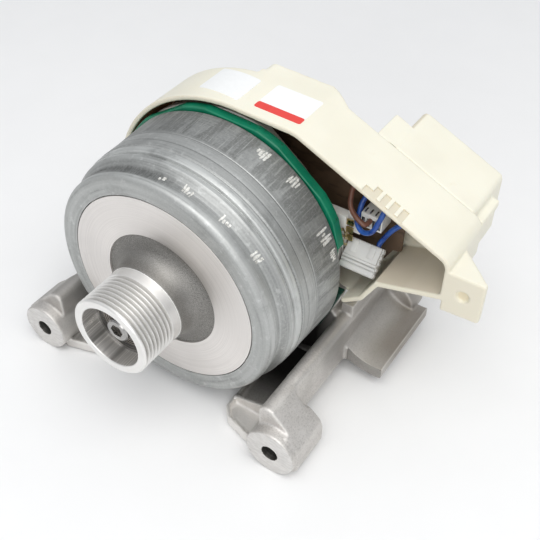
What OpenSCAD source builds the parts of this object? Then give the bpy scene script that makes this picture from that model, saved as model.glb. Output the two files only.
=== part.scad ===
// Belt-drive motor of a washing machine: an outer rotor with a ribbed pulley turns on two ball
// bearings about a fixed axle. A die-cast bracket holds the axle, the stator and a moulded cover
// with the drive electronics. Lengths along the motor axis are measured from the rotor's face,
// negative towards the pulley; the finished part has its origin on the axis, mid-way along the belt.

/* [Pulley] */
// Distance from the rotor's face to the middle of the belt
belt_offset = 25.7; // [25:0.1:27]
// Radius over the ribs
pulley_r = 20.5; // [20:0.1:22]
// Number of belt grooves
groove_count = 8; // [6:1:8]
// Distance from groove to groove
groove_pitch = 2.34; // [2.2:0.02:2.4]
// Depth of a groove
groove_depth = 1.9; // [1.4:0.1:2.1]
// Flat width on top of a rib
crest_w = 0.5; // [0.3:0.1:0.7]
// Flat width at the bottom of a groove
root_w = 0.45; // [0.3:0.05:0.6]
// Rim in front of the first rib
rim_w = 1; // [0.8:0.1:1.6]
// Chamfer on the rim
rim_chamfer = 0.7; // [0.3:0.1:0.8]
// Plain land behind the last rib
land_l = 5; // [4:0.1:5.4]

/* [Rotor face] */
// Width of the can's front face, from its shoulder to the seam
can_face_w = 10; // [8.2:0.1:12.2]
// Gap of the seam between face and can
seam = 0.15; // [0.05:0.05:0.3]
// Radius of the recess around the neck
recess_r = 30.9; // [30:0.1:34]
// Depth of the recess
recess_d = 0.8; // [0.4:0.1:1.5]
// Radius of the fillet from the recess up to the neck
neck_fillet = 9.8; // [8:0.1:10]
// Gap between the flange behind the can's front wall and the can around it
flange_gap = 1; // [0.5:0.1:3]
// Thickness of that flange
flange_t = 3.5; // [3:0.1:5]
// Outer radius of the tube around the rear bearing
hub_tube_r = 21.5; // [20:0.5:24]
// Radius of the through bore between the bearings
mid_bore_r = 13.2; // [12.5:0.1:14]

/* [Rotor can] */
// Length of the can
can_l = 52.4; // [50:0.2:54]
// Radius at the open rear rim
can_r = 66; // [65.6:0.1:66.6]
// Step from the rim down to the start of the rear band
rear_band_step = 0.8; // [0.5:0.1:0.9]
// Step from the rim down to the middle band
band_step = 1; // [0.9:0.1:1.2]
// Step from the rim down to the bead in front of the middle band
bead_step = 1.3; // [1.1:0.1:1.6]
// Step from the rim down to the narrow collar
collar_step = 2.1; // [1.8:0.1:2.4]
// Step from the rim down to the front shoulder
shoulder_step = 4.8; // [4.2:0.1:5]
// Rounding of the front shoulder
shoulder_round = 5; // [3:0.5:6]
// Depth of the front groove
front_groove_d = 0.7; // [0.4:0.1:0.9]
// Depth of the narrow groove
thin_groove_d = 0.9; // [0.5:0.1:1.2]
// Thickness of the front wall
can_front_t = 3; // [2.5:0.1:3.5]
// Thickness of the can's ring at its rear rim
can_wall = 4.6; // [4:0.1:4.8]
// Thickness of the can behind its shoulder
throat_wall = 3.2; // [2.8:0.1:3.4]
// Rounding of the rear rim
can_rim_round = 0.8; // [0.4:0.1:1]

/* [Magnets] */
// Number of magnets
magnet_count = 20; // [16:2:24]
// Thickness of a magnet
magnet_t = 3.2; // [3:0.1:3.4]
// Length of a magnet
magnet_l = 33; // [30:1:36]
// Gap between magnets
magnet_gap = 1.2; // [0.8:0.1:2]

/* [Bearings and axle] */
// Outer radius of a ball bearing
bearing_r = 16; // [16:0.5:16.5]
// Width of a ball bearing
bearing_w = 10; // [9:0.5:11]
// Radius of the axle
axle_r = 6; // [5.5:0.1:6.2]
// Radius of a ball
ball_r = 2.95; // [2.7:0.05:3]
// Number of balls
ball_count = 7; // [6:1:7]
// Depth of the front bearing inside the pulley's rim
bearing_depth = 10.5; // [8:0.5:12]
// Distance from the rotor's face to the rear bearing
rear_bearing_y = 6; // [4:0.5:7]
// Length of the axle in front of the bearing
axle_stub = 5.5; // [4:0.5:7]
// Width across flats of the socket in the axle
socket_af = 6; // [5:0.5:7]
// Depth of that socket
socket_d = 4; // [3:0.5:4.5]
// Thickness of the snap rings
snap_ring_t = 1; // [0.8:0.1:1.2]
// Height of the axle nut
nut_h = 6; // [5:0.5:8]
// Width across flats of the axle nut
nut_af = 19; // [17:1:20]
// Thickness of the washer under the nut
washer_t = 1.5; // [1:0.1:2]

/* [Stator] */
// Number of teeth
tooth_count = 24; // [18:3:24]
// Air gap between stator and magnets
air_gap = 0.8; // [0.6:0.1:1.2]
// Height of the core's stack
stack_l = 30; // [26:1:31]
// Distance from the rotor's face to the core
core_y = 16; // [15:0.5:17]
// Radial thickness of the core behind the slots
core_back_w = 7; // [6:0.5:8]
// Depth of the slots between the teeth
slot_d = 16.35; // [15.5:0.05:17]
// Width of a tooth
tooth_w = 5; // [4:0.5:5.5]
// Thickness of a tooth's tip
tip_t = 2.2; // [1.8:0.1:2.6]
// Opening between the tips
slot_w = 2.4; // [2:0.1:3]
// Thickness of the insulation on the core's faces
insulator_t = 1.2; // [1:0.1:1.6]
// Width of a coil
coil_w = 9.6; // [8.5:0.1:9.8]
// Height of a coil's end turns
coil_end = 3; // [2:0.1:3.6]
// Running gap behind the can
run_gap = 0.8; // [0.6:0.1:1.2]
// Thickness of the stator carrier's flange
carrier_t = 5.3; // [4:0.1:6]
// Gap between the flange's corners and the cover
carrier_gap = 1.8; // [1.2:0.1:2.6]
// Depth of the flange's flats
carrier_flat_d = 1.5; // [0.9:0.1:2]
// Number of flats
carrier_sides = 10; // [8:2:12]
// Radius of a stator bolt
stator_bolt_r = 2; // [1.8:0.1:2.2]
// Number of stator bolts
stator_bolts_n = 4; // [3:1:6]

/* [Bracket] */
// Gap between the back plate's edge and the cover
plate_gap = 2.7; // [2.4:0.1:4]
// Thickness of the back plate
plate_t = 4.5; // [4:0.1:6]
// Radius of the sleeve around the axle
sleeve_r = 15; // [13:0.5:17]
// Length of the ring that centres the stator
pilot_l = 18; // [14:1:24]
// Wall of that ring
pilot_t = 5; // [4:0.5:6]
// Distance between the mounting bosses
boss_spacing = 143; // [141:0.5:146]
// Height of the bosses below the axis
boss_drop = 53.9; // [53:0.1:56]
// Radius of a boss
boss_r = 13.3; // [12.5:0.1:13.4]
// Distance of a boss's face in front of the rotor's face
boss_reach = 16.4; // [14:0.2:18]
// Length of a front boss
boss_l = 25.4; // [22:0.2:28]
// Radius of a mounting hole
hole_r = 4.3; // [3.5:0.1:5]
// Depth of a mounting hole
hole_d = 22; // [18:1:23]
// Length of a rear boss
rear_boss_l = 14; // [12:0.5:16]
// Depth of a rear hole
rear_hole_d = 11; // [8:0.5:12]
// Distance from the rotor's face to a rail's rear end
rail_end = 118; // [114:0.5:122]
// Distance of a rail's front end in front of the rotor's face
rail_reach = 10; // [8:0.5:12]
// Width of a rail's top
rail_w = 8.2; // [7:0.1:9]
// How far a rail's inner side reaches in under the can
rail_tuck = 4.5; // [3.5:0.1:5]
// Height of a rail's top below the axis
rail_top = 31.6; // [30:0.1:33]
// Height of a rail's outer underside below the axis
rail_bottom = 58.6; // [56:0.2:60]
// Height of the bracket's low web below the axis
web_bottom = 66.2; // [64:0.2:66.6]
// Thickness of the low web
web_t = 3; // [2.4:0.1:4]
// Rounding of a rail's top
rail_round = 3.9; // [2:0.1:4]
// Length of the wing beside each rail
wing_l = 54; // [48:1:56]
// Width of a wing beyond its rail
wing_w = 21.7; // [18:0.1:23]
// Thickness of a wing
wing_t = 6.5; // [4:0.1:7]
// Radius of a wing's hollow
wing_round = 23.5; // [22:0.5:26]
// Width of the low shelf inside each rail
shelf_w = 26.5; // [22:0.5:27]
// Thickness of the shelf
shelf_t = 2.8; // [2:0.1:3.2]
// Height of the shelf's rim
shelf_rim = 2.8; // [1.5:0.1:3.2]
// Wall of the shelf's rim
shelf_rim_t = 1.8; // [1.4:0.1:2.4]

/* [Cover] */
// Wall of the cover
wall = 2.4; // [2:0.1:2.8]
// Overlap of the cover in front of the back plate
cover_lap = 2.5; // [1.5:0.1:3.5]
// Depth of the cover
cover_depth = 35; // [34.5:0.5:38]
// Gap between the can's rim and the cover's round side
hood_gap = 3.2; // [2.8:0.1:4.5]
// Fall of the flat top in degrees
hood_fall = 3; // [2:0.5:4]
// Distance from the axis to where the flat top ends
hood_flat = 35.8; // [34:0.2:37]
// Rounding inside between the flat top and the sloping side
hood_turn = 14; // [8:1:20]
// Fall of the sloping side in degrees
hood_slope = 25; // [24:0.5:26]
// Distance from the axis to the outer side wall
hood_side = 113.6; // [112:0.2:116]
// Height of the outer side wall
side_h = 18.25; // [17.5:0.05:19]
// Rounding of the corner at the side wall
hood_round = 5; // [3:0.5:8]
// Depth of the bulge over the capacitors
bulge_depth = 7; // [6.5:0.5:10]
// Width of the bulge
bulge_w = 48; // [46:1:50]
// Length of the taper at the bulge's end on the sloping side
bulge_taper = 12; // [11:0.5:12.5]
// Chamfer on the rear edge of the round side
hood_chamfer = 4; // [2:0.5:5]
// Width of the fixing tab
tab_w = 17; // [14:0.5:20]
// Height of the fixing tab
tab_h = 23; // [20:0.5:26]
// Thickness of the fixing tab
tab_t = 3.2; // [2.5:0.1:4]
// Radius of the dimple in the tab
dimple_r = 3; // [2:0.1:4]
// Length of the web behind the tab
tab_web_l = 20; // [14:1:24]
// Radius of a cover screw
cover_screw_r = 2; // [1.8:0.1:2.2]
// Radius of a screw post
post_r = 4.5; // [4:0.1:5]

/* [Connector box] */
// Depth of the box behind the cover
box_depth = 34; // [30:0.5:38]
// Width of the box
box_w = 45; // [43:0.5:47]
// Distance of the box from the cover's side wall
box_inset = 2.6; // [1.6:0.1:3.6]
// Height of the box at its outer side
box_h = 33; // [31:0.5:33.5]
// Wall of the box
box_wall = 2.2; // [1.8:0.1:2.6]
// Width of the socket
socket_w = 28; // [26:0.5:30]
// Height of the socket
socket_h = 15; // [13:0.5:16]
// Height of the socket above the box's underside
socket_lift = 12.5; // [12:0.1:13]
// Wall of the socket
socket_wall = 1.8; // [1.4:0.1:2.2]
// Open depth of the socket
socket_open = 14; // [12:0.5:15]
// Number of pins in the socket
pin_count = 6; // [4:1:7]

/* [Electronics] */
// Thickness of the circuit boards
board_t = 1.6; // [1.2:0.2:2]
// Gap between back plate and control board
board_gap = 15; // [14:0.5:15.5]
// Radius of a capacitor
cap_r = 8; // [7:0.1:8.2]
// Length of a capacitor
cap_l = 15; // [10:0.5:15.5]
// Height of the heat sink
sink_h = 10; // [8:0.5:11]
// Radius of a lead
lead_r = 1.25; // [1:0.05:1.4]
// Width of the plug
plug_w = 18; // [16:0.1:18.2]
// Length of the plug
plug_l = 15; // [13:0.5:16]
// Thickness of the plug
plug_t = 5.5; // [4.5:0.1:6]
// Tilt of the plug in degrees
plug_tilt = 45; // [40:1:50]

/* [Hidden] */
$fn = 96;
eps = 0.01;
// Radial gap of a seated fit, of a free fit and of a running fit
fit = 0.02;
free_fit = 0.2;
run_fit = 0.05;
// Flat pieces that stand near each other keep this gap
side_gap = 0.3;
// Ends of a lead stop this far from what they meet
lead_gap = 0.05;

// Radii and distances that follow the can
rear_band_r = can_r - rear_band_step;
band_r = can_r - band_step;
bead_r = can_r - bead_step;
collar_r = can_r - collar_step;
shoulder_r = can_r - shoulder_step;
yoke_r = can_r - can_wall;
throat_r = shoulder_r - throat_wall;
flange_r = throat_r - flange_gap;
disc_r = shoulder_r - can_face_w;
hood_r = can_r + hood_gap;
carrier_r = hood_r - carrier_gap;
carrier_flat = carrier_r - carrier_flat_d;
plate_r = hood_r - plate_gap;
rail_in = can_r - rail_tuck;

// Stations along the axis
grooves_l = groove_count * groove_pitch;
pulley_front = -belt_offset - grooves_l / 2 - rim_w;
pulley_back = -belt_offset + grooves_l / 2 + land_l;
front_bearing_y = pulley_front + bearing_depth;
axle_front = front_bearing_y - axle_stub;
flange_y = can_front_t;
web_back = flange_y + flange_t;
hub_back = rear_bearing_y + bearing_w + 1.5;
sleeve_nose_y = rear_bearing_y + bearing_w;
core_back = core_y + stack_l;
carrier_y = can_l + run_gap;
plate_y = carrier_y + carrier_t;
plate_back = plate_y + plate_t;
nut_y = plate_back + washer_t;
axle_back = nut_y + nut_h + 2;
cover_front = plate_y - cover_lap;
cover_back = cover_front + cover_depth;
rear_wall_y = cover_back - wall;
bulge_back = cover_back + bulge_depth;
box_back = cover_back + box_depth;
board_y = plate_back + board_gap;
board_back = board_y + board_t;
floor_z = -boss_drop - boss_r;

// Pieces of the ball bearings
pitch_r = (axle_r + bearing_r) / 2;
race_r = ball_r + run_fit;
inner_land_r = pitch_r - 2;
outer_land_r = pitch_r + 2;
cage_t = 0.8;
cage_w = 2 * ball_r + 0.9;
seal_t = 0.5;
seal_inset = 0.4;

// Pieces of the stator
core_r = yoke_r - run_fit - magnet_t - air_gap;
core_yoke_r = core_r - slot_d;
core_bore_r = core_yoke_r - core_back_w;
magnet_y = 14.8;
bolt_circle_r = (core_bore_r + core_yoke_r) / 2;
bolt_head_r = 1.7 * stator_bolt_r;
bolt_head_h = 3.2;
coil_in_r = core_yoke_r + 1;
coil_out_r = core_r - tip_t - 0.8;
sensor_r = [coil_out_r + 1, yoke_r - 1.4];

// Positions of the cover's screw posts
post_circle_r = plate_r - 10;
posts = [polar(post_circle_r, 174), polar(post_circle_r, 115), [post_circle_r - 12.5, -8]];
post_flange = 1.5;
screw_head_r = 1.9 * cover_screw_r;
screw_head_h = 2.6;
screw_bite = plate_t - 0.4;

// Flat top and slope of the cover: the height of each inner plane at a distance from the axis
top_n = [sin(hood_fall), cos(hood_fall)];
slope_n = [sin(hood_slope), cos(hood_slope)];
function top_z(x, off = 0) = (hood_r + off - x * top_n[0]) / top_n[1];
hood_corner = [hood_flat, top_z(hood_flat)];
corner_out = hood_corner + wall * (top_n + slope_n) / (1 + top_n * slope_n);
function slope_z(x, off = 0) = (slope_n * hood_corner + off - x * slope_n[0]) / slope_n[1];

// Plug and header positions
terminal_x = 61;
plug_x = terminal_x + 0.5;
plug_at = [plate_back + 0.9, 8.1];
plug_dir = [cos(plug_tilt), sin(plug_tilt)];
plug_end = plug_at + (plug_l / 2 + lead_gap) * plug_dir;
plug_out = plug_at + (plug_l / 2 + 1.8) * plug_dir;
header_at = [plug_x + 4.5, plug_at[1] + 14.9];
header_size = [11, 10, 8];
header_y = board_y - header_size[1];
socket_flange = 2;
socket_lip = 2;
socket_front = rear_wall_y - socket_flange;

// Points that the leads pass, in the frame of the rotor's face
brown_route = [[60, board_y - lead_gap, 42], [60, board_y - 3, 42], [59, board_y - 6, 40],
    [60, board_y - 10, 35], [62, board_y - 12, 32], [66, board_y - 14, 30], [70, board_y - 14, 28],
    [71, header_y - 2, 28], [71, header_y - lead_gap, 28]];
blue_route = [[66, board_y - lead_gap, 38], [66, board_y - 3, 38], [64.5, board_y - 6, 34],
    [64.5, board_y - 9, 29], [65.5, board_y - 12, 25.5], [69, board_y - 14, 23.5], [73, board_y - 15, 25],
    [76, board_y - 16, 29], [78, board_y - 15, 35], [79, board_y - 12, 40], [80, board_y - 8, 43],
    [80, board_y - 3, 43], [80, board_y - lead_gap, 43]];
plug_lead_route = [[76, plug_end[0], plug_end[1]], [76, plug_out[0], plug_out[1]], [77, 71.5, 17],
    [79, 71.5, 21], [82, 71, 26], [85, 72, 29], [87, 76, 28], [87, 80, 24], [87, socket_front - 3, 22],
    [87, socket_front - lead_gap, 22]];

// Placing helpers

// Moves a piece from the frame of the rotor's face to the part's own frame
module at_face() {
    translate([0, belt_offset, 0]) children();
}

// Turns a profile of [radius, station] about the motor axis
module turned() {
    rotate([-90, 0, 0]) rotate_extrude() children();
}

// Draws an [x, z] outline through a range of stations
module along_y(y0, y1) {
    translate([0, y1, 0]) rotate([90, 0, 0]) linear_extrude(y1 - y0) children();
}

// A cylinder along the axis direction through [x, z]
module rod(at, r, y0, y1, sides = $fn) {
    translate([at[0], y0, at[1]]) rotate([-90, 0, 0]) cylinder(r = r, h = y1 - y0, $fn = sides);
}

// A block between two corners
module block(a, b) {
    translate(a) cube(b - a);
}

// Copies placed evenly about the motor axis
module around(n, first = 0) {
    for (i = [0 : n - 1]) rotate([0, -first - i * 360 / n, 0]) children();
}

// A washer-shaped ring about the axis
module ring(r_in, r_out, y0, y1) {
    turned() translate([r_in, y0]) square([r_out - r_in, y1 - y0]);
}

// Outline helpers

function unit(v) = v / norm(v);
function turn_2d(a, b) = a[0] * b[1] - a[1] * b[0];
function polar(r, a) = [r * cos(a), r * sin(a)];
function mirrored(pts) = [for (i = [len(pts) - 1 : -1 : 0]) [-pts[i][0], pts[i][1]]];

// Points of one corner of an outline, rounded to radius r
function corner(a, b, c, r, n = 8) =
    let (u = unit(a - b), v = unit(c - b), half = acos(u * v) / 2, reach = r / tan(half),
        mid = b + unit(u + v) * r / sin(half), s = b + u * reach - mid, e = b + v * reach - mid,
        sweep = atan2(turn_2d(s, e), s * e))
    [for (i = [0 : n]) mid + [s[0] * cos(sweep * i / n) - s[1] * sin(sweep * i / n),
        s[0] * sin(sweep * i / n) + s[1] * cos(sweep * i / n)]];

// An outline of [x, z, radius] points with its corners rounded
function rounded(pts) = [
    for (i = [0 : len(pts) - 1])
        let (n = len(pts), p = [for (k = [n - 1, 0, 1]) [pts[(i + k) % n][0], pts[(i + k) % n][1]]])
        each pts[i][2] > 0 ? corner(p[0], p[1], p[2], pts[i][2]) : [p[1]]];

// An anticlockwise outline moved out by off, with the radii of its corners following
function grown(pts, off) = [
    for (i = [0 : len(pts) - 1])
        let (n = len(pts), a = pts[(i + n - 1) % n], b = pts[i], c = pts[(i + 1) % n],
            d = unit([b[0] - a[0], b[1] - a[1]]), e = unit([c[0] - b[0], c[1] - b[1]]),
            p = [b[0], b[1]] + off * [d[1], -d[0]], q = [b[0], b[1]] + off * [e[1], -e[0]],
            bend = turn_2d(d, e), hit = abs(bend) < 0.001 ? q : p + d * turn_2d(q - p, e) / bend)
        [hit[0], hit[1], b[2] > 0 ? max(b[2] + sign(bend) * off, 0.2) : 0]];

// A round tube that follows a list of points, as one closed solid
lead_sides = 8;
function path_dir(p, i) = unit(p[min(i + 1, len(p) - 1)] - p[max(i - 1, 0)]);
function side_dir(d) = unit(cross(d, abs(d[0]) < 0.9 ? [1, 0, 0] : [0, 0, 1]));
function tube_ring(c, d, r) =
    let (u = side_dir(d), v = cross(d, u))
    [for (k = [0 : lead_sides - 1])
        let (a = k * 360 / lead_sides) c + r * (cos(a) * u + sin(a) * v)];

module tube(route, r) {
    n = len(route);
    s = lead_sides;
    points = [for (i = [0 : n - 1]) each tube_ring(route[i], path_dir(route, i), r)];
    walls = [for (i = [0 : n - 2]) for (k = [0 : s - 1]) each [
        [i * s + k, (i + 1) * s + (k + 1) % s, i * s + (k + 1) % s],
        [i * s + k, (i + 1) * s + k, (i + 1) * s + (k + 1) % s]]];
    front = [for (k = [1 : s - 2]) [0, k, k + 1]];
    back = [for (k = [1 : s - 2]) [(n - 1) * s, (n - 1) * s + k + 1, (n - 1) * s + k]];
    polyhedron(points, concat(walls, front, back));
}

// Rotor

groove_half = (groove_pitch - crest_w) / 2;

// Outline of the ribbed rim from front to back
function rib_points() = [
    for (i = [0 : groove_count - 1])
        let (y = -belt_offset - grooves_l / 2 + (i + 0.5) * groove_pitch)
        each [[pulley_r, y - groove_half], [pulley_r - groove_depth, y - root_w / 2],
            [pulley_r - groove_depth, y + root_w / 2], [pulley_r, y + groove_half]]];

module rotor_hub() {
    neck_r = recess_r - neck_fillet;
    fillet_y = recess_d - neck_fillet;
    fillet = [for (a = [0 : 7.5 : 90]) [recess_r - neck_fillet * cos(a), fillet_y + neck_fillet * sin(a)]];
    snap_y = front_bearing_y - snap_ring_t - 2 * fit;
    profile = concat(
        [[bearing_r + rim_chamfer / 2, pulley_front], [pulley_r - rim_chamfer, pulley_front],
            [pulley_r, pulley_front + rim_chamfer]],
        rib_points(),
        [[pulley_r, pulley_back], [neck_r, pulley_back]],
        fillet,
        [[recess_r, 0], [disc_r, 0], [disc_r, flange_y], [flange_r, flange_y], [flange_r, web_back],
            [hub_tube_r, web_back], [hub_tube_r, hub_back], [bearing_r, hub_back],
            [bearing_r, rear_bearing_y], [mid_bore_r, rear_bearing_y],
            [mid_bore_r, front_bearing_y + bearing_w], [bearing_r, front_bearing_y + bearing_w],
            [bearing_r, front_bearing_y], [bearing_r + snap_ring_t, front_bearing_y],
            [bearing_r + snap_ring_t, snap_y], [bearing_r, snap_y],
            [bearing_r, pulley_front + rim_chamfer / 2]]);
    color("gainsboro") turned() polygon(profile);
}

module rotor_can() {
    groove_y = shoulder_round + front_groove_d;
    groove_back = groove_y + 3.2;
    collar_y = 12.8;
    thin_y = 15.2;
    bead_y = 16.8;
    band_y = 21.4;
    rear_y = 33;
    throat_l = 11;
    step = 0.5;
    centre = [shoulder_r - shoulder_round, shoulder_round];
    shoulder = [for (a = [-90 : 10 : 0]) centre + polar(shoulder_round, a)];
    rim = [for (a = [0 : 30 : 90]) [can_r - can_rim_round, can_l - can_rim_round] + polar(can_rim_round, a)];
    profile = concat(
        [[disc_r + seam, 0]],
        shoulder,
        [[shoulder_r - front_groove_d, groove_y], [shoulder_r - front_groove_d, groove_back],
            [shoulder_r + 0.2, groove_back + 0.8], [collar_r - step, collar_y - step],
            [collar_r, collar_y], [collar_r, thin_y - step / 2],
            [collar_r - thin_groove_d, thin_y], [collar_r - thin_groove_d, thin_y + 2 * step],
            [bead_r - step / 2, bead_y], [bead_r, bead_y + step], [bead_r, band_y - 2 * step],
            [bead_r - step, band_y - step], [band_r, band_y], [band_r, rear_y - step / 2],
            [rear_band_r, rear_y]],
        rim,
        [[yoke_r, can_l], [yoke_r, magnet_y - side_gap], [throat_r, throat_l], [throat_r, can_front_t],
            [disc_r + seam, can_front_t]]);
    color("slategray") turned() polygon(profile);
}

module magnets() {
    r_out = yoke_r - run_fit;
    r_in = r_out - magnet_t;
    color("dimgray") difference() {
        ring(r_in, r_out, magnet_y, magnet_y + magnet_l);
        around(magnet_count)
            block([r_in - 1, magnet_y - 1, -magnet_gap / 2],
                [r_out + 1, magnet_y + magnet_l + 1, magnet_gap / 2]);
    }
}

// Ball bearings; y is the station of a bearing's front face

module bearing_outer_ring(y) {
    color("silver") turned() difference() {
        translate([outer_land_r, y + fit]) square([bearing_r - fit - outer_land_r, bearing_w - 2 * fit]);
        translate([pitch_r, y + bearing_w / 2]) circle(race_r);
    }
}

module bearing_inner_ring(y) {
    color("silver") turned() difference() {
        translate([axle_r + fit, y + fit]) square([inner_land_r - axle_r - fit, bearing_w - 2 * fit]);
        translate([pitch_r, y + bearing_w / 2]) circle(race_r);
    }
}

module bearing_seals(y) {
    color("saddlebrown") {
        ring(inner_land_r + run_fit, outer_land_r - fit, y + seal_inset, y + seal_inset + seal_t);
        ring(inner_land_r + run_fit, outer_land_r - fit, y + bearing_w - seal_inset - seal_t,
            y + bearing_w - seal_inset);
    }
}

module ball_places(y) {
    around(ball_count) translate([pitch_r, y + bearing_w / 2, 0]) children();
}

module ball_set(y) {
    color("lightgray") ball_places(y) sphere(ball_r);
}

module ball_cage(y) {
    middle = y + bearing_w / 2;
    color("peru") difference() {
        ring(pitch_r - cage_t / 2, pitch_r + cage_t / 2, middle - cage_w / 2, middle + cage_w / 2);
        ball_places(y) rotate([0, 90, 0]) cylinder(r = ball_r + run_fit, h = 4 * cage_t, center = true);
    }
}

module front_bearing_outer_ring() { bearing_outer_ring(front_bearing_y); }
module rear_bearing_outer_ring() { bearing_outer_ring(rear_bearing_y); }
module front_bearing_inner_ring() { bearing_inner_ring(front_bearing_y); }
module rear_bearing_inner_ring() { bearing_inner_ring(rear_bearing_y); }
module front_bearing_seals() { bearing_seals(front_bearing_y); }
module rear_bearing_seals() { bearing_seals(rear_bearing_y); }
module front_balls() { ball_set(front_bearing_y); }
module rear_balls() { ball_set(rear_bearing_y); }
module front_ball_cage() { ball_cage(front_bearing_y); }
module rear_ball_cage() { ball_cage(rear_bearing_y); }

module hub_snap_ring() {
    y = front_bearing_y - snap_ring_t - fit;
    opening = 5;
    color("darkgray") difference() {
        ring(bearing_r - 1.6, bearing_r + snap_ring_t - fit, y, y + snap_ring_t);
        block([0, y - 1, -opening / 2], [2 * bearing_r, y + 2, opening / 2]);
    }
}

// Axle

snap_groove_d = 0.5;

module axle() {
    chamfer = 0.7;
    y = front_bearing_y - snap_ring_t - fit;
    color("lightsteelblue") difference() {
        turned() polygon([[0, axle_front], [axle_r - chamfer, axle_front], [axle_r, axle_front + chamfer],
            [axle_r, y - fit], [axle_r - snap_groove_d, y - fit],
            [axle_r - snap_groove_d, front_bearing_y], [axle_r, front_bearing_y],
            [axle_r, axle_back - chamfer], [axle_r - chamfer, axle_back], [0, axle_back]]);
        rod([0, 0], socket_af / 2 / cos(30), axle_front - 1, axle_front + socket_d, 6);
    }
}

module axle_snap_ring() {
    y = front_bearing_y - snap_ring_t;
    ear = 1.6;
    ear_hole = 0.7;
    ear_angle = 8;
    facing = -46;
    split = 0.8;
    reach = 3 * axle_r;
    r_in = axle_r - snap_groove_d + fit;
    r_out = axle_r + 1.6;
    ears = [for (s = [-1, 1]) polar(r_out + 0.3, facing + s * ear_angle)];
    color("darkgray") difference() {
        along_y(y - fit, y - fit + snap_ring_t) union() {
            difference() {
                circle(r_out);
                polygon([[0, 0], polar(reach, facing - ear_angle + 2), polar(reach, facing + ear_angle - 2)]);
            }
            for (p = ears) translate(p) circle(ear);
        }
        rod([0, 0], r_in, y - 1, y + 2);
        for (p = ears) rod(p, ear_hole, y - 1, y + 2);
        rotate([0, -facing, 0]) block([r_in - 1, y - 1, -split / 2], [reach, y + 2, split / 2]);
    }
}

module bearing_spacer() {
    color("silver") ring(axle_r + fit, inner_land_r - 0.4, front_bearing_y + bearing_w, rear_bearing_y);
}

module axle_washer() {
    color("silver") ring(axle_r + free_fit, nut_af / 2 + 2, plate_back, nut_y);
}

module axle_nut() {
    color("darkgray") difference() {
        rod([0, 0], nut_af / 2 / cos(30), nut_y, nut_y + nut_h, 6);
        rod([0, 0], axle_r + fit, nut_y - 1, nut_y + nut_h + 1);
    }
}

// Stator

module tooth_shape(w, r) {
    for (i = [0 : tooth_count - 1]) rotate(i * 360 / tooth_count)
        translate([core_yoke_r - 1, -w / 2]) square([r - core_yoke_r + 1, w]);
}

module bolt_holes(y0, y1, r) {
    around(stator_bolts_n, 45) rod([bolt_circle_r, 0], r, y0, y1);
}

module stator_core() {
    tip_in = core_r - tip_t;
    color("darkslategray") difference() {
        along_y(core_y, core_back) difference() {
            union() {
                circle(core_yoke_r);
                tooth_shape(tooth_w, core_r - tip_t / 2);
                difference() {
                    circle(core_r);
                    circle(tip_in);
                    for (i = [0 : tooth_count - 1]) rotate((i + 0.5) * 360 / tooth_count)
                        translate([tip_in - 1, -slot_w / 2]) square([tip_t + 2, slot_w]);
                }
            }
            circle(core_bore_r);
        }
        bolt_holes(core_y - 1, core_back + 1, stator_bolt_r + free_fit);
    }
}

// Insulation on one face of the core: a ring with a tongue on each tooth
module insulation(y0, y1) {
    along_y(y0, y1) difference() {
        union() {
            circle(core_yoke_r);
            tooth_shape(tooth_w, coil_out_r);
        }
        circle(core_bore_r + side_gap);
    }
}

module stator_front_insulator() {
    y = core_y - insulator_t;
    color("seagreen") difference() {
        insulation(y, core_y);
        bolt_holes(y - 1, core_y + 1, stator_bolt_r + free_fit);
    }
}

module stator_carrier() {
    first_corner = 33;
    color("seagreen") difference() {
        union() {
            insulation(core_back, core_back + insulator_t);
            ring(core_bore_r + side_gap, core_yoke_r, core_back, plate_y);
            intersection() {
                ring(core_bore_r + side_gap, carrier_r, carrier_y, plate_y);
                rotate([0, -first_corner, 0])
                    rod([0, 0], carrier_flat / cos(180 / carrier_sides), carrier_y, plate_y, carrier_sides);
            }
        }
        bolt_holes(core_back - 1, plate_y + 1, stator_bolt_r + free_fit);
        plug_notch(carrier_y - 1, plate_y + 1);
    }
}

module stator_coils() {
    inside = insulator_t + free_fit;
    hole_w = tooth_w + 2 * side_gap;
    y0 = core_y - inside;
    y1 = core_back + inside;
    color("sienna") around(tooth_count) difference() {
        block([coil_in_r, y0 - coil_end, -coil_w / 2], [coil_out_r, y1 + coil_end, coil_w / 2]);
        block([coil_in_r - 1, y0, -hole_w / 2], [coil_out_r + 1, y1, hole_w / 2]);
    }
}

module stator_bolts() {
    y = core_y - insulator_t;
    color("silver") around(stator_bolts_n, 45) {
        rod([bolt_circle_r, 0], stator_bolt_r, y, plate_back - 1);
        rod([bolt_circle_r, 0], bolt_head_r, y - bolt_head_h, y);
    }
}

module sensor_board() {
    chip = [2.4, 1.2, 3.2];
    spread = [-64, -50, -36];
    margin = 8;
    reach = 2 * can_r;
    color("darkgreen") {
        intersection() {
            ring(sensor_r[0], sensor_r[1], carrier_y - board_t, carrier_y);
            along_y(carrier_y - 2 * board_t, carrier_y + 1)
                polygon([[0, 0], polar(reach, spread[0] - margin), polar(reach, spread[1]),
                    polar(reach, spread[2] + margin)]);
        }
        for (a = spread) rotate([0, -a, 0])
            translate([sensor_r[1] - chip[0] - 0.6, carrier_y - board_t - chip[1], -chip[2] / 2]) cube(chip);
    }
}

// Room for the plug at the edge of the carrier and of the back plate
module plug_notch(y0, y1) {
    block([terminal_x - free_fit, y0, plug_at[1] - plug_l * 1.25],
        [plug_x + plug_w, y1, plug_at[1] + plug_l * 0.6]);
}

// Bracket

boss_at = [boss_spacing / 2, -boss_drop];
rail_out = rail_in + rail_w;
rear_boss_y = rail_end - rear_boss_l;
wing_y = cover_front;

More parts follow.
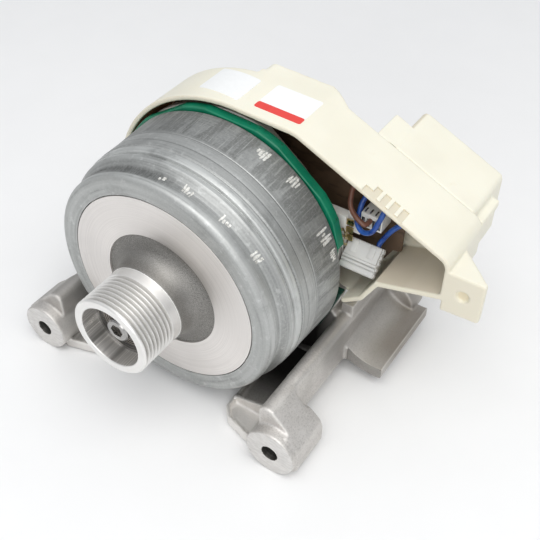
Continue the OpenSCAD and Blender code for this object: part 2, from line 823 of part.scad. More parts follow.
// Outline of a rail across its length
function rail_outline() = rounded([[rail_in, -web_bottom, 0], [rail_in + web_t, -web_bottom, 0],
    [rail_in + web_t, -rail_bottom, 1], [rail_out, -rail_bottom, 1.5], [rail_out, -rail_top, rail_round],
    [rail_in, -rail_top, rail_round]]);

// The flank that carries a rail's outer side over to its front boss
cheek_h = 12.2;
cheek_in = boss_at[0] - 4;
cheek_out = boss_at[0] + boss_r;
cheek_top = [boss_at[0] + 6.5, boss_at[1] + cheek_h];
flank_in = rail_in + 0.5;
function flank_outline() = [[flank_in, boss_at[1]], boss_at, cheek_top,
    [rail_out - 1, -rail_top - 0.5], [flank_in, -rail_top - 3]];

// The squared cheek on a front boss's outer side
function cheek_outline() = rounded([[cheek_in, boss_at[1] - cheek_h, 0], [cheek_out, boss_at[1] - cheek_h, 6],
    [cheek_out, boss_at[1] + cheek_h / 2, 5], [cheek_top[0], cheek_top[1], 2],
    [cheek_in, boss_at[1] + cheek_h, 0]]);

// A hollow wing beside a rail
function wing_outline() =
    let (c = [rail_out + wing_w - 4.9, 1.3 - rail_top], edge = rail_out + wing_w,
        low = c[1] - sqrt(pow(wing_round, 2) - pow(edge - c[0], 2)))
    concat([for (a = [220 : 8 : 276]) c + polar(wing_round, a)],
        [[edge, low], [edge, low - wing_t]],
        [for (a = [276 : -8 : 244]) c + polar(wing_round + wing_t, a)],
        [[rail_out - 3, 1.2 - rail_bottom]]);

// Plan of the low shelf between a rail and the rotor
shelf_x = rail_in - shelf_w;
shelf_root = rail_in + 1;
function shelf_plan() = [[shelf_root, -rail_reach - 2, 0], [shelf_root, plate_y + 1, 0],
    [shelf_x + 14, plate_y + 1, 0], [shelf_x, plate_y - 12, 0], [shelf_x, 0, 3], [shelf_x + 5, -5.6, 4],
    [shelf_x + 16, -9, 0]];

module shelf() {
    low = -web_bottom;
    rim_back = plate_y - 8;
    rim_front = -2 * rail_reach;
    rib_y = 6;
    rib_t = 2;
    rib_h = [6.5, 10, 18];
    rib_x = [shelf_x + 0.5, rail_in - 10, shelf_root];
    translate([0, 0, low]) linear_extrude(shelf_t) polygon(rounded(shelf_plan()));
    translate([0, 0, low]) linear_extrude(shelf_t + shelf_rim) intersection() {
        difference() {
            polygon(rounded(shelf_plan()));
            polygon(rounded(grown(shelf_plan(), -shelf_rim_t)));
        }
        translate([0, rim_front]) square([rail_in, rim_back - rim_front]);
    }
    along_y(rib_y, rib_y + rib_t) polygon(concat([[rib_x[0], low], [rib_x[2], low]],
        [for (i = [2 : -1 : 0]) [rib_x[i], low + rib_h[i]]]));
}

// One side of the bracket: rail, bosses, wing, shelf and the web to the back plate
module arm() {
    boss_edge = 0.6;
    boss_front = -boss_reach;
    boss_back = boss_l - boss_reach;
    back_edge = 2;
    cheek_inset = 4;
    lug_l = [7, 36];
    lug_h = 6;
    gusset_t = plate_t + 5.5;
    gusset_x = rail_in - 16.5;
    along_y(-rail_reach, rail_end) polygon(rail_outline());
    along_y(-rail_reach, boss_back - 1) polygon(flank_outline());
    along_y(boss_front + cheek_inset, boss_back + 1) polygon(cheek_outline());
    translate([boss_at[0], 0, boss_at[1]]) turned()
        polygon([[0, boss_front], [boss_r - boss_edge, boss_front], [boss_r, boss_front + boss_edge],
            [boss_r, boss_back - back_edge], [boss_r - back_edge, boss_back], [0, boss_back]]);
    rod(boss_at, boss_r, rear_boss_y, rail_end);
    along_y(wing_y, wing_y + wing_l) polygon(wing_outline());
    along_y(wing_y + lug_l[0], wing_y + lug_l[1]) translate([rail_in + 1, -rail_top - lug_h])
        square([rail_w - 1.5, 2 * lug_h]);
    along_y(plate_y, plate_y + gusset_t)
        polygon([[gusset_x, -gusset_x], [gusset_x - 10, -web_bottom], [rail_in + 2, -web_bottom],
            [rail_in + 2, -rail_top - 2], [rail_in - 4, lug_h - 2 - rail_top],
            [rail_in - 12, lug_h - rail_top]]);
    shelf();
}

// Step in the plate's edge that gives the wiring room; it runs out towards the top
module wiring_cut() {
    depth = 4.5;
    top = 75;
    sector = [-12, 52];
    step = 16;
    outside = [sector[0], 30, top];
    reach = 2 * plate_r;
    along_y(plate_y - 1, plate_back + 1)
        polygon(concat([polar(plate_r + 1, top)],
            [for (a = [sector[1] : -step : sector[0]]) polar(plate_r - depth, a)],
            [for (a = outside) polar(reach, a)]));
}

module bracket() {
    pilot_r = core_bore_r - fit;
    nose_r = inner_land_r - side_gap;
    nose_back = core_y + 8;
    color("darkgray") difference() {
        union() {
            ring(axle_r + fit, plate_r, plate_y, plate_back);
            ring(axle_r + fit, nose_r, sleeve_nose_y, nose_back);
            ring(axle_r + fit, sleeve_r, nose_back - 2, plate_y + 1);
            ring(pilot_r - pilot_t, pilot_r, plate_y - pilot_l, plate_y + 1);
            arm();
            mirror([1, 0, 0]) arm();
        }
        for (s = [-1, 1]) {
            rod([s * boss_at[0], boss_at[1]], hole_r, -boss_reach - 1, hole_d - boss_reach);
            rod([s * boss_at[0], boss_at[1]], hole_r, rail_end - rear_hole_d, rail_end + 1);
        }
        bolt_holes(plate_y - 1, plate_back + 1, stator_bolt_r + fit);
        plug_notch(plate_y - 1, plate_back + 1);
        wiring_cut();
        for (p = posts) rod(p, cover_screw_r + fit, plate_back - screw_bite - fit, plate_back + 1);
    }
}

// Cover

// Low points of the cover: floor of the opening, the step that gives the plug room, and the hook
hood_floor = slope_z(hood_side) - side_h;
floor_step = [plug_x + 20.5, plug_at[1] - 4.1];
floor_drop = [plug_x + 13, plug_at[1] - 17.6];
hook = [plug_x + 4.5, plug_at[1] - 23.6];

// Inner outline of the cover right of the axis, anticlockwise from the hook, as [x, z, radius]
hood_left = -10;
function hood_outline() = [[hook[0], hook[1], 0], [floor_drop[0], floor_drop[1], 0],
    [floor_step[0], floor_step[1], 0], [hood_side, hood_floor, 2],
    [hood_side, slope_z(hood_side), hood_round], [hood_corner[0], hood_corner[1], hood_turn],
    [hood_left, top_z(hood_left), 0], [hood_left, hook[1], 0]];

module hood(off) {
    reach = 2 * hood_r;
    touch = (hood_r + off) * top_n[0];
    intersection() {
        circle(hood_r + off);
        translate([-reach, hook[1] - off]) square([reach + touch, reach]);
    }
    intersection() {
        polygon(rounded(grown(hood_outline(), off)));
        rotate(-hood_fall) translate([0, -reach]) square(2 * reach);
    }
}

bulge_x = hood_flat - 39.8;
bulge_z = hood_r - 29.2;
bulge_round = 4;
bulge_end = bulge_x + bulge_w;
function bulge_outline() = [[bulge_x, bulge_z, bulge_round], [bulge_end, bulge_z, bulge_round],
    [bulge_end, slope_z(bulge_end, wall), 0], [corner_out[0], corner_out[1], hood_turn + wall],
    [bulge_x, top_z(bulge_x, wall), bulge_round]];
function bulge_plan() = [[2 * bulge_x, cover_front, 0], [bulge_end, cover_front, 0],
    [bulge_end, cover_back, 0], [bulge_end - bulge_taper, bulge_back, bulge_taper / 2],
    [2 * bulge_x, bulge_back, 0]];

// The bulge, or its inside where it is grown by less than nothing
module bulge(start, off) {
    intersection() {
        along_y(start, bulge_back + off) polygon(rounded(grown(bulge_outline(), off)));
        linear_extrude(2 * hood_r) polygon(rounded(grown(bulge_plan(), off)));
    }
}

// Place of the box on the cover's rear wall
box_out = hood_side - box_inset;
box_x = box_out - box_w;
box_z = slope_z(box_out, wall) - box_h;

// Passage from the board to the socket, shared by the cover and the box
window_gap = 1.5;
socket_x = box_x + box_w / 2;
socket_z = box_z + socket_lift + socket_h / 2;
module socket_window(extra) {
    translate([socket_x, socket_z]) square([socket_w + 2 * extra, socket_h + 2 * extra], center = true);
}

// Tab beside the opening with a web behind it
module fixing_tab() {
    drop = 8;
    tab_round = 1.5;
    tab_back = cover_front + tab_t;
    x0 = hood_side + 1;
    x1 = hood_side + wall + tab_w;
    z0 = hood_floor - drop;
    z1 = z0 + tab_h;
    difference() {
        along_y(cover_front, tab_back)
            polygon(rounded([[x0, z0, 0], [x1, z0 + 1, tab_round], [x1, z1, tab_round], [x0, z1, 0]]));
        rod([(x0 + x1) / 2, (z0 + z1) / 2 + 1], dimple_r, cover_front - 1, cover_front + tab_t / 2);
    }
    translate([0, 0, z1 - tab_t]) linear_extrude(tab_t - eps)
        polygon([[x0, cover_front + eps], [x1 - 1, tab_back - eps], [x0, cover_front + tab_web_l]]);
}

// Shallow comb of pockets in the sloping side, open at its front rim
module comb_cuts() {
    first = hood_side - 39;
    fingers = 4;
    pitch = 5;
    finger = [3.2, 8];
    heel = [7.4, 4.5];
    strip = 2.6;
    sink = 0.7;
    translate([first, cover_front - 1, slope_z(first, wall)]) rotate([0, hood_slope, 0])
        translate([0, 0, -sink]) linear_extrude(2 * wall) union() {
            for (i = [0 : fingers - 1]) translate([i * pitch, 0]) square(finger);
            translate([finger[0] - heel[0], 0]) square(heel);
            square([(fingers - 1) * pitch + finger[0], strip]);
        }
}

head_clear = 0.4;
head_y = cover_back - screw_head_h - head_clear;

module cover() {
    open_y = plate_back + 1.5;
    chamfer_r = hood_r + 2 * wall;
    color("cornsilk") difference() {
        union() {
            along_y(cover_front, cover_back) hood(wall);
            bulge(rear_wall_y, 0);
            fixing_tab();
        }
        difference() {
            along_y(cover_front - 1, rear_wall_y) hood(0);
            for (p = posts) {
                rod(p, post_r, plate_back, rear_wall_y + 1);
                rod(p, post_r + post_flange, board_back, rear_wall_y + 1);
            }
        }
        block([-2 * hood_r, cover_front - 1, -hood_r], [floor_drop[0] - 9, open_y, hook[1] + 3]);
        bulge(rear_wall_y - 1, -wall);
        along_y(rear_wall_y - 1, cover_back + 1) socket_window(window_gap);
        for (p = posts) {
            rod(p, cover_screw_r + free_fit, plate_back - 1, cover_back + 1);
            rod(p, screw_head_r + free_fit, head_y, cover_back + 1);
        }
        intersection() {
            turned() polygon([[hood_r + wall - hood_chamfer, cover_back + eps], [chamfer_r, cover_back + eps],
                [chamfer_r, cover_back - hood_chamfer - wall]]);
            block([-2 * hood_r, cover_front, hook[1] - wall], [bulge_x, cover_back + 1, 2 * hood_r]);
        }
        comb_cuts();
    }
}

module connector_box() {
    top = slope_z(box_out, wall);
    outline = [[box_x, box_z, 2], [box_out, box_z, 2], [box_out, top, 3], [box_x, slope_z(box_x, wall), 3]];
    latch = [7, 19, 9.5];
    flush = 0.3;
    latch_in = slope_z(box_x, wall) - flush;
    latch_out = slope_z(box_x - latch[0], wall) - flush;
    catch = [4, 20, 6];
    catch_at = [cover_back + 3, top - 5];
    taper = 1;
    color("ivory") {
        difference() {
            along_y(cover_back, box_back) polygon(rounded(outline));
            along_y(cover_back - 1, box_back - box_wall) polygon(rounded(grown(outline, -box_wall)));
            along_y(box_back - box_wall - 1, box_back + 1) socket_window(window_gap / 3);
        }
        along_y(cover_back, cover_back + latch[1])
            polygon([[box_x - latch[0], latch_out - latch[2]], [box_x, latch_in - latch[2]],
                [box_x, latch_in], [box_x - latch[0], latch_out]]);
        along_y(catch_at[0], catch_at[0] + catch[1])
            polygon([[box_out, catch_at[1] - catch[2]], [box_out + catch[0], catch_at[1] - catch[2] + taper],
                [box_out + catch[0], catch_at[1] - taper], [box_out, catch_at[1]]]);
    }
}

module cover_screws() {
    drive = [1, 5];
    drive_d = 1.2;
    color("silver") for (p = posts) difference() {
        union() {
            rod(p, cover_screw_r, plate_back - screw_bite, head_y);
            rod(p, screw_head_r, head_y, head_y + screw_head_h);
        }
        for (s = [drive, [drive[1], drive[0]]])
            translate([p[0] - s[0] / 2, head_y + screw_head_h - drive_d, p[1] - s[1] / 2])
                cube([s[0], 2 * drive_d, s[1]]);
    }
}

// Electronics behind the back plate

board_clear = 3.2;
board_right = plug_x + 22.5;
board_low = hook[1] + 5.5;

module control_board() {
    reach = 2 * hood_r;
    color("darkgreen") difference() {
        along_y(board_y, board_back) intersection() {
            hood(-board_clear);
            translate([-reach, board_low]) square([reach + board_right, reach]);
        }
        for (p = posts) rod(p, post_r + free_fit, board_y - 1, board_back + 1);
    }
}

module capacitors() {
    vent = 0.6;
    cap_gap = 1;
    cap_z = hood_r - cap_r - 6;
    first = bulge_x + wall + cap_gap + cap_r;
    color("midnightblue") for (x = [first, first + 2 * cap_r + cap_gap]) difference() {
        rod([x, cap_z], cap_r, board_back, board_back + cap_l);
        translate([x - cap_r / 2, board_back + cap_l - vent, cap_z]) cube([cap_r, 2 * vent, vent]);
    }
}

sink_size = [32, 24];
sink_at = [16.5 - plate_r, 14];

module power_module() {
    inset = [3, 4];
    at = sink_at + inset;
    size = sink_size - 2 * inset;
    color("black") block([at[0], plate_back + sink_h, at[1]], [at[0] + size[0], board_y, at[1] + size[1]]);
}

module heat_sink() {
    fin_n = 5;
    fin_pitch = sink_size[1] / fin_n;
    fin_slot = [2.5, 2];
    fin_base = 3;
    color("lightgray") difference() {
        translate([sink_at[0], plate_back, sink_at[1]]) cube([sink_size[0], sink_h, sink_size[1]]);
        for (i = [1 : fin_n - 1])
            translate([sink_at[0] - 1, plate_back + fin_base, sink_at[1] + i * fin_pitch - fin_slot[1] / 2])
                cube([fin_slot[0] + 1, sink_h, fin_slot[1]]);
    }
}

module filter_choke() {
    choke = [16, 6.5, 14];
    color("saddlebrown") translate([plug_x - 19.5, board_back, plug_at[1] + 11.9]) cube(choke);
}

module board_header() {
    slot = [2, 5];
    inset = 1.5;
    color("white") translate([header_at[0], header_y, header_at[1]]) difference() {
        cube(header_size);
        translate([header_size[0] - inset - slot[0], -1, inset])
            cube([slot[0], slot[1] + 1, header_size[2] - 2 * inset]);
    }
}

pin_r = 0.8;
pin_l = 9;
pin_root = 2.9;
pin_pitch = (socket_w - 2 * socket_wall - 2) / pin_count;
socket_end = box_back - 1;
pin_y = socket_end - socket_open;
function pin_at(i) = [socket_x + (i - (pin_count - 1) / 2) * pin_pitch, socket_z];

module appliance_header() {
    color("white") difference() {
        union() {
            along_y(socket_front, socket_end) socket_window(0);
            along_y(socket_front, rear_wall_y) socket_window(socket_lip);
        }
        along_y(pin_y, socket_end + 1) socket_window(-socket_wall);
        for (i = [0 : pin_count - 1]) rod(pin_at(i), pin_r + fit, pin_y - pin_root - 0.1, socket_end);
    }
}

module appliance_pins() {
    color("goldenrod") for (i = [0 : pin_count - 1]) rod(pin_at(i), pin_r, pin_y - pin_root, pin_y + pin_l);
}

// Stator connection: a block on the back plate with terminals that carry the plug

terminal_steps = [0.2, 4];
terminal_block_size = [11, 5, 25];
terminal_low = plug_at[1] - 4.1;
pin_in = 5;
blade = [3.5, 1, 3];
blade_root = 3;
blade_pitch = 4.5;
blade_z = [for (i = [0 : 2]) terminal_low + 11 + i * blade_pitch];
function terminal_at(t) = plug_at + t * plug_dir;

module terminal_block() {
    color("ivory") difference() {
        translate([terminal_x - terminal_block_size[0], plate_back, terminal_low]) cube(terminal_block_size);
        for (t = terminal_steps)
            translate([0, terminal_at(t)[0], terminal_at(t)[1]]) rotate([0, 90, 0])
                cylinder(r = pin_r + fit, h = terminal_x + 1);
        for (z = blade_z)
            block([terminal_x - blade_root - fit, plate_back + blade[1] - fit, z - fit],
                [terminal_x + 1, plate_back + 2 * blade[1] + fit, z + blade[2] + fit]);
    }
}

module stator_terminals() {
    color("gold") {
        for (t = terminal_steps)
            translate([terminal_x - pin_in, terminal_at(t)[0], terminal_at(t)[1]]) rotate([0, 90, 0])
                cylinder(r = pin_r, h = plug_x - terminal_x + 2 * pin_in);
        for (z = blade_z)
            block([terminal_x - blade_root, plate_back + blade[1], z],
                [terminal_x + blade[0], plate_back + 2 * blade[1], z + blade[2]]);
    }
}

module plug_housing() {
    rib = [plug_w - 2, 1.6, 0.8];
    rib_steps = [4, 9];
    entry = [1, 2.2, 2];
    entry_pitch = 4.2;
    front = -plug_l / 2;
    color("white") translate([plug_x, plug_at[0], plug_at[1]]) rotate([plug_tilt, 0, 0]) difference() {
        union() {
            translate([0, front, -plug_t / 2]) cube([plug_w, plug_l, plug_t]);
            for (s = rib_steps) translate([1, front + s, plug_t / 2 - eps]) cube(rib);
        }
        for (t = terminal_steps)
            translate([-1, t, 0]) rotate([0, 90, 0]) cylinder(r = pin_r + fit, h = pin_in + 3);
        for (k = [0 : 2])
            translate([plug_w - entry[0], front + 2 + k * entry_pitch, -entry[2] / 2])
                cube([2 * entry[0], entry[1], entry[2]]);
    }
}

// Leads inside the cover

module brown_lead() { color("saddlebrown") tube(brown_route, lead_r); }
module blue_lead() { color("royalblue") tube(blue_route, lead_r); }
module plug_lead() { color("royalblue") tube(plug_lead_route, lead_r); }

at_face() rotor_hub();
at_face() rotor_can();
at_face() magnets();
at_face() front_bearing_outer_ring();
at_face() rear_bearing_outer_ring();
at_face() front_bearing_seals();
at_face() rear_bearing_seals();
at_face() hub_snap_ring();
at_face() front_ball_cage();
at_face() front_balls();
at_face() rear_ball_cage();
at_face() rear_balls();
at_face() axle();
at_face() axle_snap_ring();
at_face() front_bearing_inner_ring();
at_face() rear_bearing_inner_ring();
at_face() bearing_spacer();
at_face() axle_washer();
at_face() axle_nut();
at_face() stator_core();
at_face() stator_front_insulator();
at_face() stator_carrier();
at_face() stator_coils();
at_face() stator_bolts();
at_face() sensor_board();
at_face() bracket();
at_face() cover();
at_face() connector_box();
at_face() cover_screws();
at_face() control_board();
at_face() capacitors();
at_face() power_module();
at_face() heat_sink();
at_face() filter_choke();
at_face() board_header();
at_face() appliance_header();
at_face() appliance_pins();
at_face() terminal_block();
at_face() stator_terminals();
at_face() plug_housing();
at_face() brown_lead();
at_face() blue_lead();
at_face() plug_lead();
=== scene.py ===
"""Looks of a belt-drive washing machine motor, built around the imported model.

Lengths are millimetres, apart from floor, light and camera, which are in metres. Stations run along the
motor axis from the rotor's face, negative towards the pulley, as on the drawing of the part; place() turns
a point of the drawing into the part's frame. Colours are linear red, green and blue.
"""
import math
import random

import bmesh
import bpy
import numpy as np
from mathutils import Matrix, Vector


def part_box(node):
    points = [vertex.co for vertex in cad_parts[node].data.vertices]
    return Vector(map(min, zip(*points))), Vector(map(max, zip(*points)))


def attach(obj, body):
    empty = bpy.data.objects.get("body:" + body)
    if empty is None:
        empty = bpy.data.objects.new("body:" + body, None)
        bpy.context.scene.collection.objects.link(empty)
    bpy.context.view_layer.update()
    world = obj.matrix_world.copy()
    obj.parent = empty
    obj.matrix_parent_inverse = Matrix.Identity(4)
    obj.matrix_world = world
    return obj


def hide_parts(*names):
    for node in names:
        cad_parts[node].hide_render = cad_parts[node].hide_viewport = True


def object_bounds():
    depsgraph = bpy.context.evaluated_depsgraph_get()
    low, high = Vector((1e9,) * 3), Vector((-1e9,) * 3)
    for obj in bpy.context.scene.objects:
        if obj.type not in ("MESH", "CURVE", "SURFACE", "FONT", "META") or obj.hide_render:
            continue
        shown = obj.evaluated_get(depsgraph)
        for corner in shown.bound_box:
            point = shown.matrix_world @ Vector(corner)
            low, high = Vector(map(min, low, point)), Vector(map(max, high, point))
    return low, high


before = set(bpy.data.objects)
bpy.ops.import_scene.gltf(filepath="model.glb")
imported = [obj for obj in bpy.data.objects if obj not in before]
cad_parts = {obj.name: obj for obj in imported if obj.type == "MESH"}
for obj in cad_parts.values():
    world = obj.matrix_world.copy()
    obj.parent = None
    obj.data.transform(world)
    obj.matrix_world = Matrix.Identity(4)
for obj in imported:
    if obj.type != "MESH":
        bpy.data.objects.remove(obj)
cad_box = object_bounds()

MM = 0.001
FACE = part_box("rotor_can")[0][1] / MM


def place(x, station, z):
    """A point of the drawing in the part's frame, in metres."""
    return Vector((x * MM, (station + FACE) * MM, z * MM))


def moved(x, station, z):
    """A move from the frame's origin to a point of the drawing."""
    return Matrix.Translation(place(x, station, z))


def drawing_box(node):
    """Low and high corner of a node on the drawing."""
    return [Vector(corner) / MM - Vector((0, FACE, 0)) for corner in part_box(node)]


# Sizes of the rotor; the part's frame starts in the middle of the belt's track

BELT = -FACE
GROOVES = 8
PITCH = 2.34
CREST = 0.5
PULLEY_R = 20.5
GROOVE_D = 1.9
ROOT_HALF = 0.22
RIM_FRONT = drawing_box("rotor_hub")[0].y
AXLE_FRONT = drawing_box("axle")[0].y
# Radius of the driver's recess in the axle's end
DRIVE_R = 4.6
NECK_FRONT = BELT + GROOVES * PITCH / 2 + 5
BORE_R = 16
DISC_R = 51.1
RECESS_R = 30.9
RECESS_D = 0.8
NECK_FILLET = 9.8
NECK_R = RECESS_R - NECK_FILLET
# Flange behind the disc: radius, front and back
FLANGE_R = 57
FLANGE_FRONT = 3
FLANGE_BACK = 6.5
SLEEVE_R = 21.5
SLEEVE_BACK = 17.5
# Shoulder between the bearings, their seats and the groove of the snap ring
SHOULDER_R = 13.2
REAR_SEAT = 6
FRONT_SEAT = -25.56
SEAT_L = 10
SNAP_W = 1.04
SNAP_D = 1
# Distance between the beads of a bearing seal
SEAL_BEAD = 1.25

CAN_R = 66.0
CAN_L = 52.4
# Outline of the can: radius, station, rounding
CAN_OUTLINE = [
    (DISC_R + 0.35, 3, 0), (DISC_R + 0.35, 0, 0.3), (61.2, 0, 5.2), (61.2, 5.6, 0.3), (60.45, 5.9, 0.3),
    (60.45, 8.7, 0.5), (61.5, 9.8, 0.8), (63.2, 12.0, 2.0), (63.9, 13.2, 0.8), (63.9, 15.0, 0.5),
    (63.0, 15.3, 0.2), (63.0, 16.1, 0.2), (64.35, 16.6, 0.6), (64.75, 18.2, 2.0), (64.7, 20.3, 0.6),
    (64.2, 20.9, 0.3), (65.0, 21.6, 0.4), (65.05, 26.2, 0.5), (64.97, 26.6, 0.2), (65.05, 27.0, 0.4),
    (65.05, 32.4, 0.3), (64.95, 32.8, 0.2), (65.2, 33.3, 0.4), (CAN_R, CAN_L, 0.8), (61.4, CAN_L, 0.3),
    (61.4, 14.5, 0), (58, 11, 0.5), (58, 3, 0)]
# Points of that outline on the can's outside, behind its front edge
CAN_OUTSIDE = CAN_OUTLINE[3:24]
# Tone of the can's plating along its stations: its own bands together with painted highlight and shade
CAN_TONES = [
    (0, 0.44), (3, 0.57), (4.5, 0.47), (8.5, 0.41), (11.5, 0.33), (12.8, 0.48), (14.2, 0.62), (17.5, 0.6),
    (19, 0.68), (20.5, 0.66), (21.6, 0.42), (28, 0.46), (32.4, 0.42), (33.4, 0.32), (40, 0.37), (52, 0.33)]
# Tone of the can's rear band by angle about the axis in degrees, where it is stained
REAR_TONES = [
    (-20, 0.34), (2, 0.4), (14, 0.27), (24, 0.26), (38, 0.42), (62, 0.46), (74, 0.27), (100, 0.24),
    (140, 0.36), (180, 0.3)]
# Dark lines round the can: first and last station, softness
CAN_GROOVE = (3.6, 9.4, 0.6)
CAN_SEAMS = [(25.9, 26.3, 0.15), (32.4, 32.9, 0.2)]
CAN_COLLAR = [(15.2, 16.0, 0.3), (20.2, 21.4, 0.4)]
# Scrapes on the can: angle about the axis, first and last station, width along the rim, number of dashes
SCRAPES = [
    (76.5, 6.0, 10.4, 6.0, 4), (57, 6.2, 10.8, 6.5, 4), (38.5, 7.0, 11.2, 6.0, 3), (89, 6.2, 9.0, 4.0, 2),
    (66.5, 43.0, 50.0, 6.5, 4), (50.5, 43.5, 51.0, 6.0, 4), (25.5, 42.0, 51.0, 8.0, 4),
    (15.5, 46.0, 51.2, 6.0, 5), (150, 44.0, 50.0, 6.0, 4), (215, 44.5, 50.0, 6.0, 4),
    (290, 44.0, 50.0, 6.0, 4), (240, 6.2, 10.5, 6.0, 4)]
SCRAPE_PROUD = 0.06
# Depth to which scrapes and labels reach into what they lie on
SUNK = 0.3

# Sizes of the cover and the connector box

COVER_FRONT = drawing_box("cover")[0].y
BOX_FRONT = drawing_box("connector_box")[0].y
COVER_WALL = 2.4
HOOD_SIDE = 113.6
HOOD_IN_R = 69.2
HOOD_IN_FLAT = 35.8
HOOD_R = HOOD_IN_R + COVER_WALL
HOOD_TURN = 14 + COVER_WALL
HOOD_FALL = math.radians(3)
HOOD_SLOPE = math.radians(25)
HOOD_IN_CORNER = (HOOD_IN_R - HOOD_IN_FLAT * math.sin(HOOD_FALL)) / math.cos(HOOD_FALL)
SLOPE_NORMAL = (math.sin(HOOD_SLOPE), 0, math.cos(HOOD_SLOPE))
SLOPE_OUT = HOOD_IN_FLAT * SLOPE_NORMAL[0] + HOOD_IN_CORNER * SLOPE_NORMAL[2] + COVER_WALL
# Distance from the axis to the edge between the flat top and the slope, measured along the top
HOOD_FLAT = (SLOPE_OUT - HOOD_R * math.cos(HOOD_SLOPE - HOOD_FALL)) / math.sin(HOOD_SLOPE - HOOD_FALL)
# Middle of the dimple in the tab, across and up
DIMPLE_AT = (123.8, 17.4)
# Comb of pockets: first finger, pitch, finger's width and length, heel's width and length, strip and depth
COMB_X = 74.6
COMB_FINGERS = 4
COMB_PITCH = 5
COMB_FINGER = (3.2, 8.0)
COMB_HEEL = (7.4, 4.5)
COMB_STRIP = 1.6
COMB_SINK = 0.9
# How far the comb's cutter reaches past the cover's front edge and over the slope
COMB_PAST = 2
COMB_OVER = 3.0
# Latch: width and length, then its root's depths under the slope, sides from the latch's edge, and end gaps
LATCH_W = 7
LATCH_L = 19
LATCH_SINK = 0.35
LATCH_DEEP = 3.5
LATCH_ROOT = (-1, 4)
LATCH_GAPS = (0.4, 0.6)
LABEL_LIFT = 0.14
LABEL_ROUND = 1.2

# Sizes of the bracket

BOSS_X = 71.5
BOSS_Z = -53.9
BOSS_FRONT = -16.4
HOLE_R = 4.35
HOLE_DEPTH = 22
RAIL_OUT = 69.7
RAIL_END = 118
REAR_HOLE_DEPTH = 11
# Depth to which the bosses' ends were milled, and the radius of that cut
FACED = 0.3
FACED_R = 30
# How far the cutters of the milled ends, and those of the holes and wings, reach past what they cut
FACED_PAST = 3
CUT_PAST = 2
WING_FRONT = COVER_FRONT
# Cut on the wings' front ends: its depth, and the inner and outer side, underside and top of its cutter
WING_CUT = 0.8
WING_CUT_IN = RAIL_OUT + 2
WING_CUT_OUT = 100
WING_CUT_LOW = -75
WING_CUT_TOP = -30
# Places where the casting is rounder: low and high x, station and z, and how many times it is smoothed there
ROUND_PLACES = [((60, 90), (-8.6, 14), (-52, -26), 45), ((66, 80), (62, 108), (-52, -36), 60)]
ROUND_FADE = 2.5
# Thickening at the foot of the gusset, where the web ends: size, rounding and middle
GUSSET_FOOT = (24, 7, 4)
GUSSET_FOOT_ROUND = 1.2
GUSSET_FOOT_AT = (48, 57.5, -64.1)
# Trough between the rails: half width, top, and how fast the painted shade in it fades across and up
TROUGH_X = 62.5
TROUGH_TOP = -30
TROUGH_FADE = 11
TROUGH_RISE = 4
# How strongly a standing edge of the casting counts for wear and a painted highlight
WEAR_AND_HIGHLIGHT_GAIN = 5.0


# Mesh helpers

def add_object(name, data):
    """A new object in the scene."""
    obj = bpy.data.objects.new(name, data)
    bpy.context.scene.collection.objects.link(obj)
    return obj


def shade(obj, sharp_deg=40):
    """Smooth shading with creases where faces meet at more than an angle."""
    obj.data.shade_smooth()
    obj.data.set_sharp_from_angle(angle=math.radians(sharp_deg))


def tidy_mesh(obj, weld=1e-7):
    """Joins doubled points and turns all faces outwards."""
    bm = bmesh.new()
    bm.from_mesh(obj.data)
    bmesh.ops.remove_doubles(bm, verts=bm.verts, dist=weld)
    bmesh.ops.recalc_face_normals(bm, faces=bm.faces)
    bm.to_mesh(obj.data)
    bm.free()


def mesh_object(name, verts, faces, sharp_deg=40):
    """An object from points in metres and faces."""
    mesh = bpy.data.meshes.new(name)
    mesh.from_pydata([tuple(v) for v in verts], [], faces)
    mesh.update()
    obj = add_object(name, mesh)
    tidy_mesh(obj)
    shade(obj, sharp_deg)
    return obj


def bmesh_object(name, bm):
    """An object from a mesh under construction, which is then gone."""
    mesh = bpy.data.meshes.new(name)
    bm.to_mesh(mesh)
    bm.free()
    obj = add_object(name, mesh)
    shade(obj, 50)
    return obj


def apply_modifiers(obj):
    """Makes the modified shape the object's own mesh."""
    graph = bpy.context.evaluated_depsgraph_get()
    mesh = bpy.data.meshes.new_from_object(obj.evaluated_get(graph))
    obj.modifiers.clear()
    old = obj.data
    obj.data = mesh
    bpy.data.meshes.remove(old)


def finish_piece(obj, body, slot, *materials, nodes=()):
    """Gives a piece its materials and body, and the nodes that it stands for; the slot is not used."""
    obj.data.materials.clear()
    for material in materials:
        obj.data.materials.append(material)
    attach(obj, body)
    if nodes:
        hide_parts(*nodes)


def fillet(points, step_deg=15):
    """A closed outline of (a, b, radius) points with its corners rounded."""
    out = []
    count = len(points)
    for i, (a, b, radius) in enumerate(points):
        here = Vector((a, b))
        if radius <= 0:
            out.append(here)
            continue
        before = Vector(points[i - 1][:2]) - here
        after = Vector(points[(i + 1) % count][:2]) - here
        opening = before.angle(after)
        reach = min(radius / math.tan(opening / 2), 0.49 * before.length, 0.49 * after.length)
        before.normalize()
        after.normalize()
        centre = here + (before + after).normalized() * reach / math.cos(opening / 2)
        start = here + before * reach - centre
        end = here + after * reach - centre
        sweep = math.atan2(start.x * end.y - start.y * end.x, start.dot(end))
        steps = max(2, round(abs(math.degrees(sweep)) / step_deg))
        for k in range(steps + 1):
            out.append(centre + Matrix.Rotation(sweep * k / steps, 2) @ start)
    return out


def on_circle(radius, turn):
    """A point on a circle about the motor axis, across and up."""
    return radius * math.cos(turn), radius * math.sin(turn)


def lathe(name, outline, segments=240):
    """A closed outline of (radius, station) points turned about the motor axis."""
    count = len(outline)
    verts = []
    faces = []
    for i in range(segments):
        turn = 2 * math.pi * i / segments
        for radius, station in outline:
            x, z = on_circle(radius, turn)
            verts.append(place(x, station, z))
        here = i * count
        following = (i + 1) % segments * count
        for k in range(count):
            after = (k + 1) % count
            faces.append((here + k, following + k, following + after, here + after))
    return mesh_object(name, verts, faces)


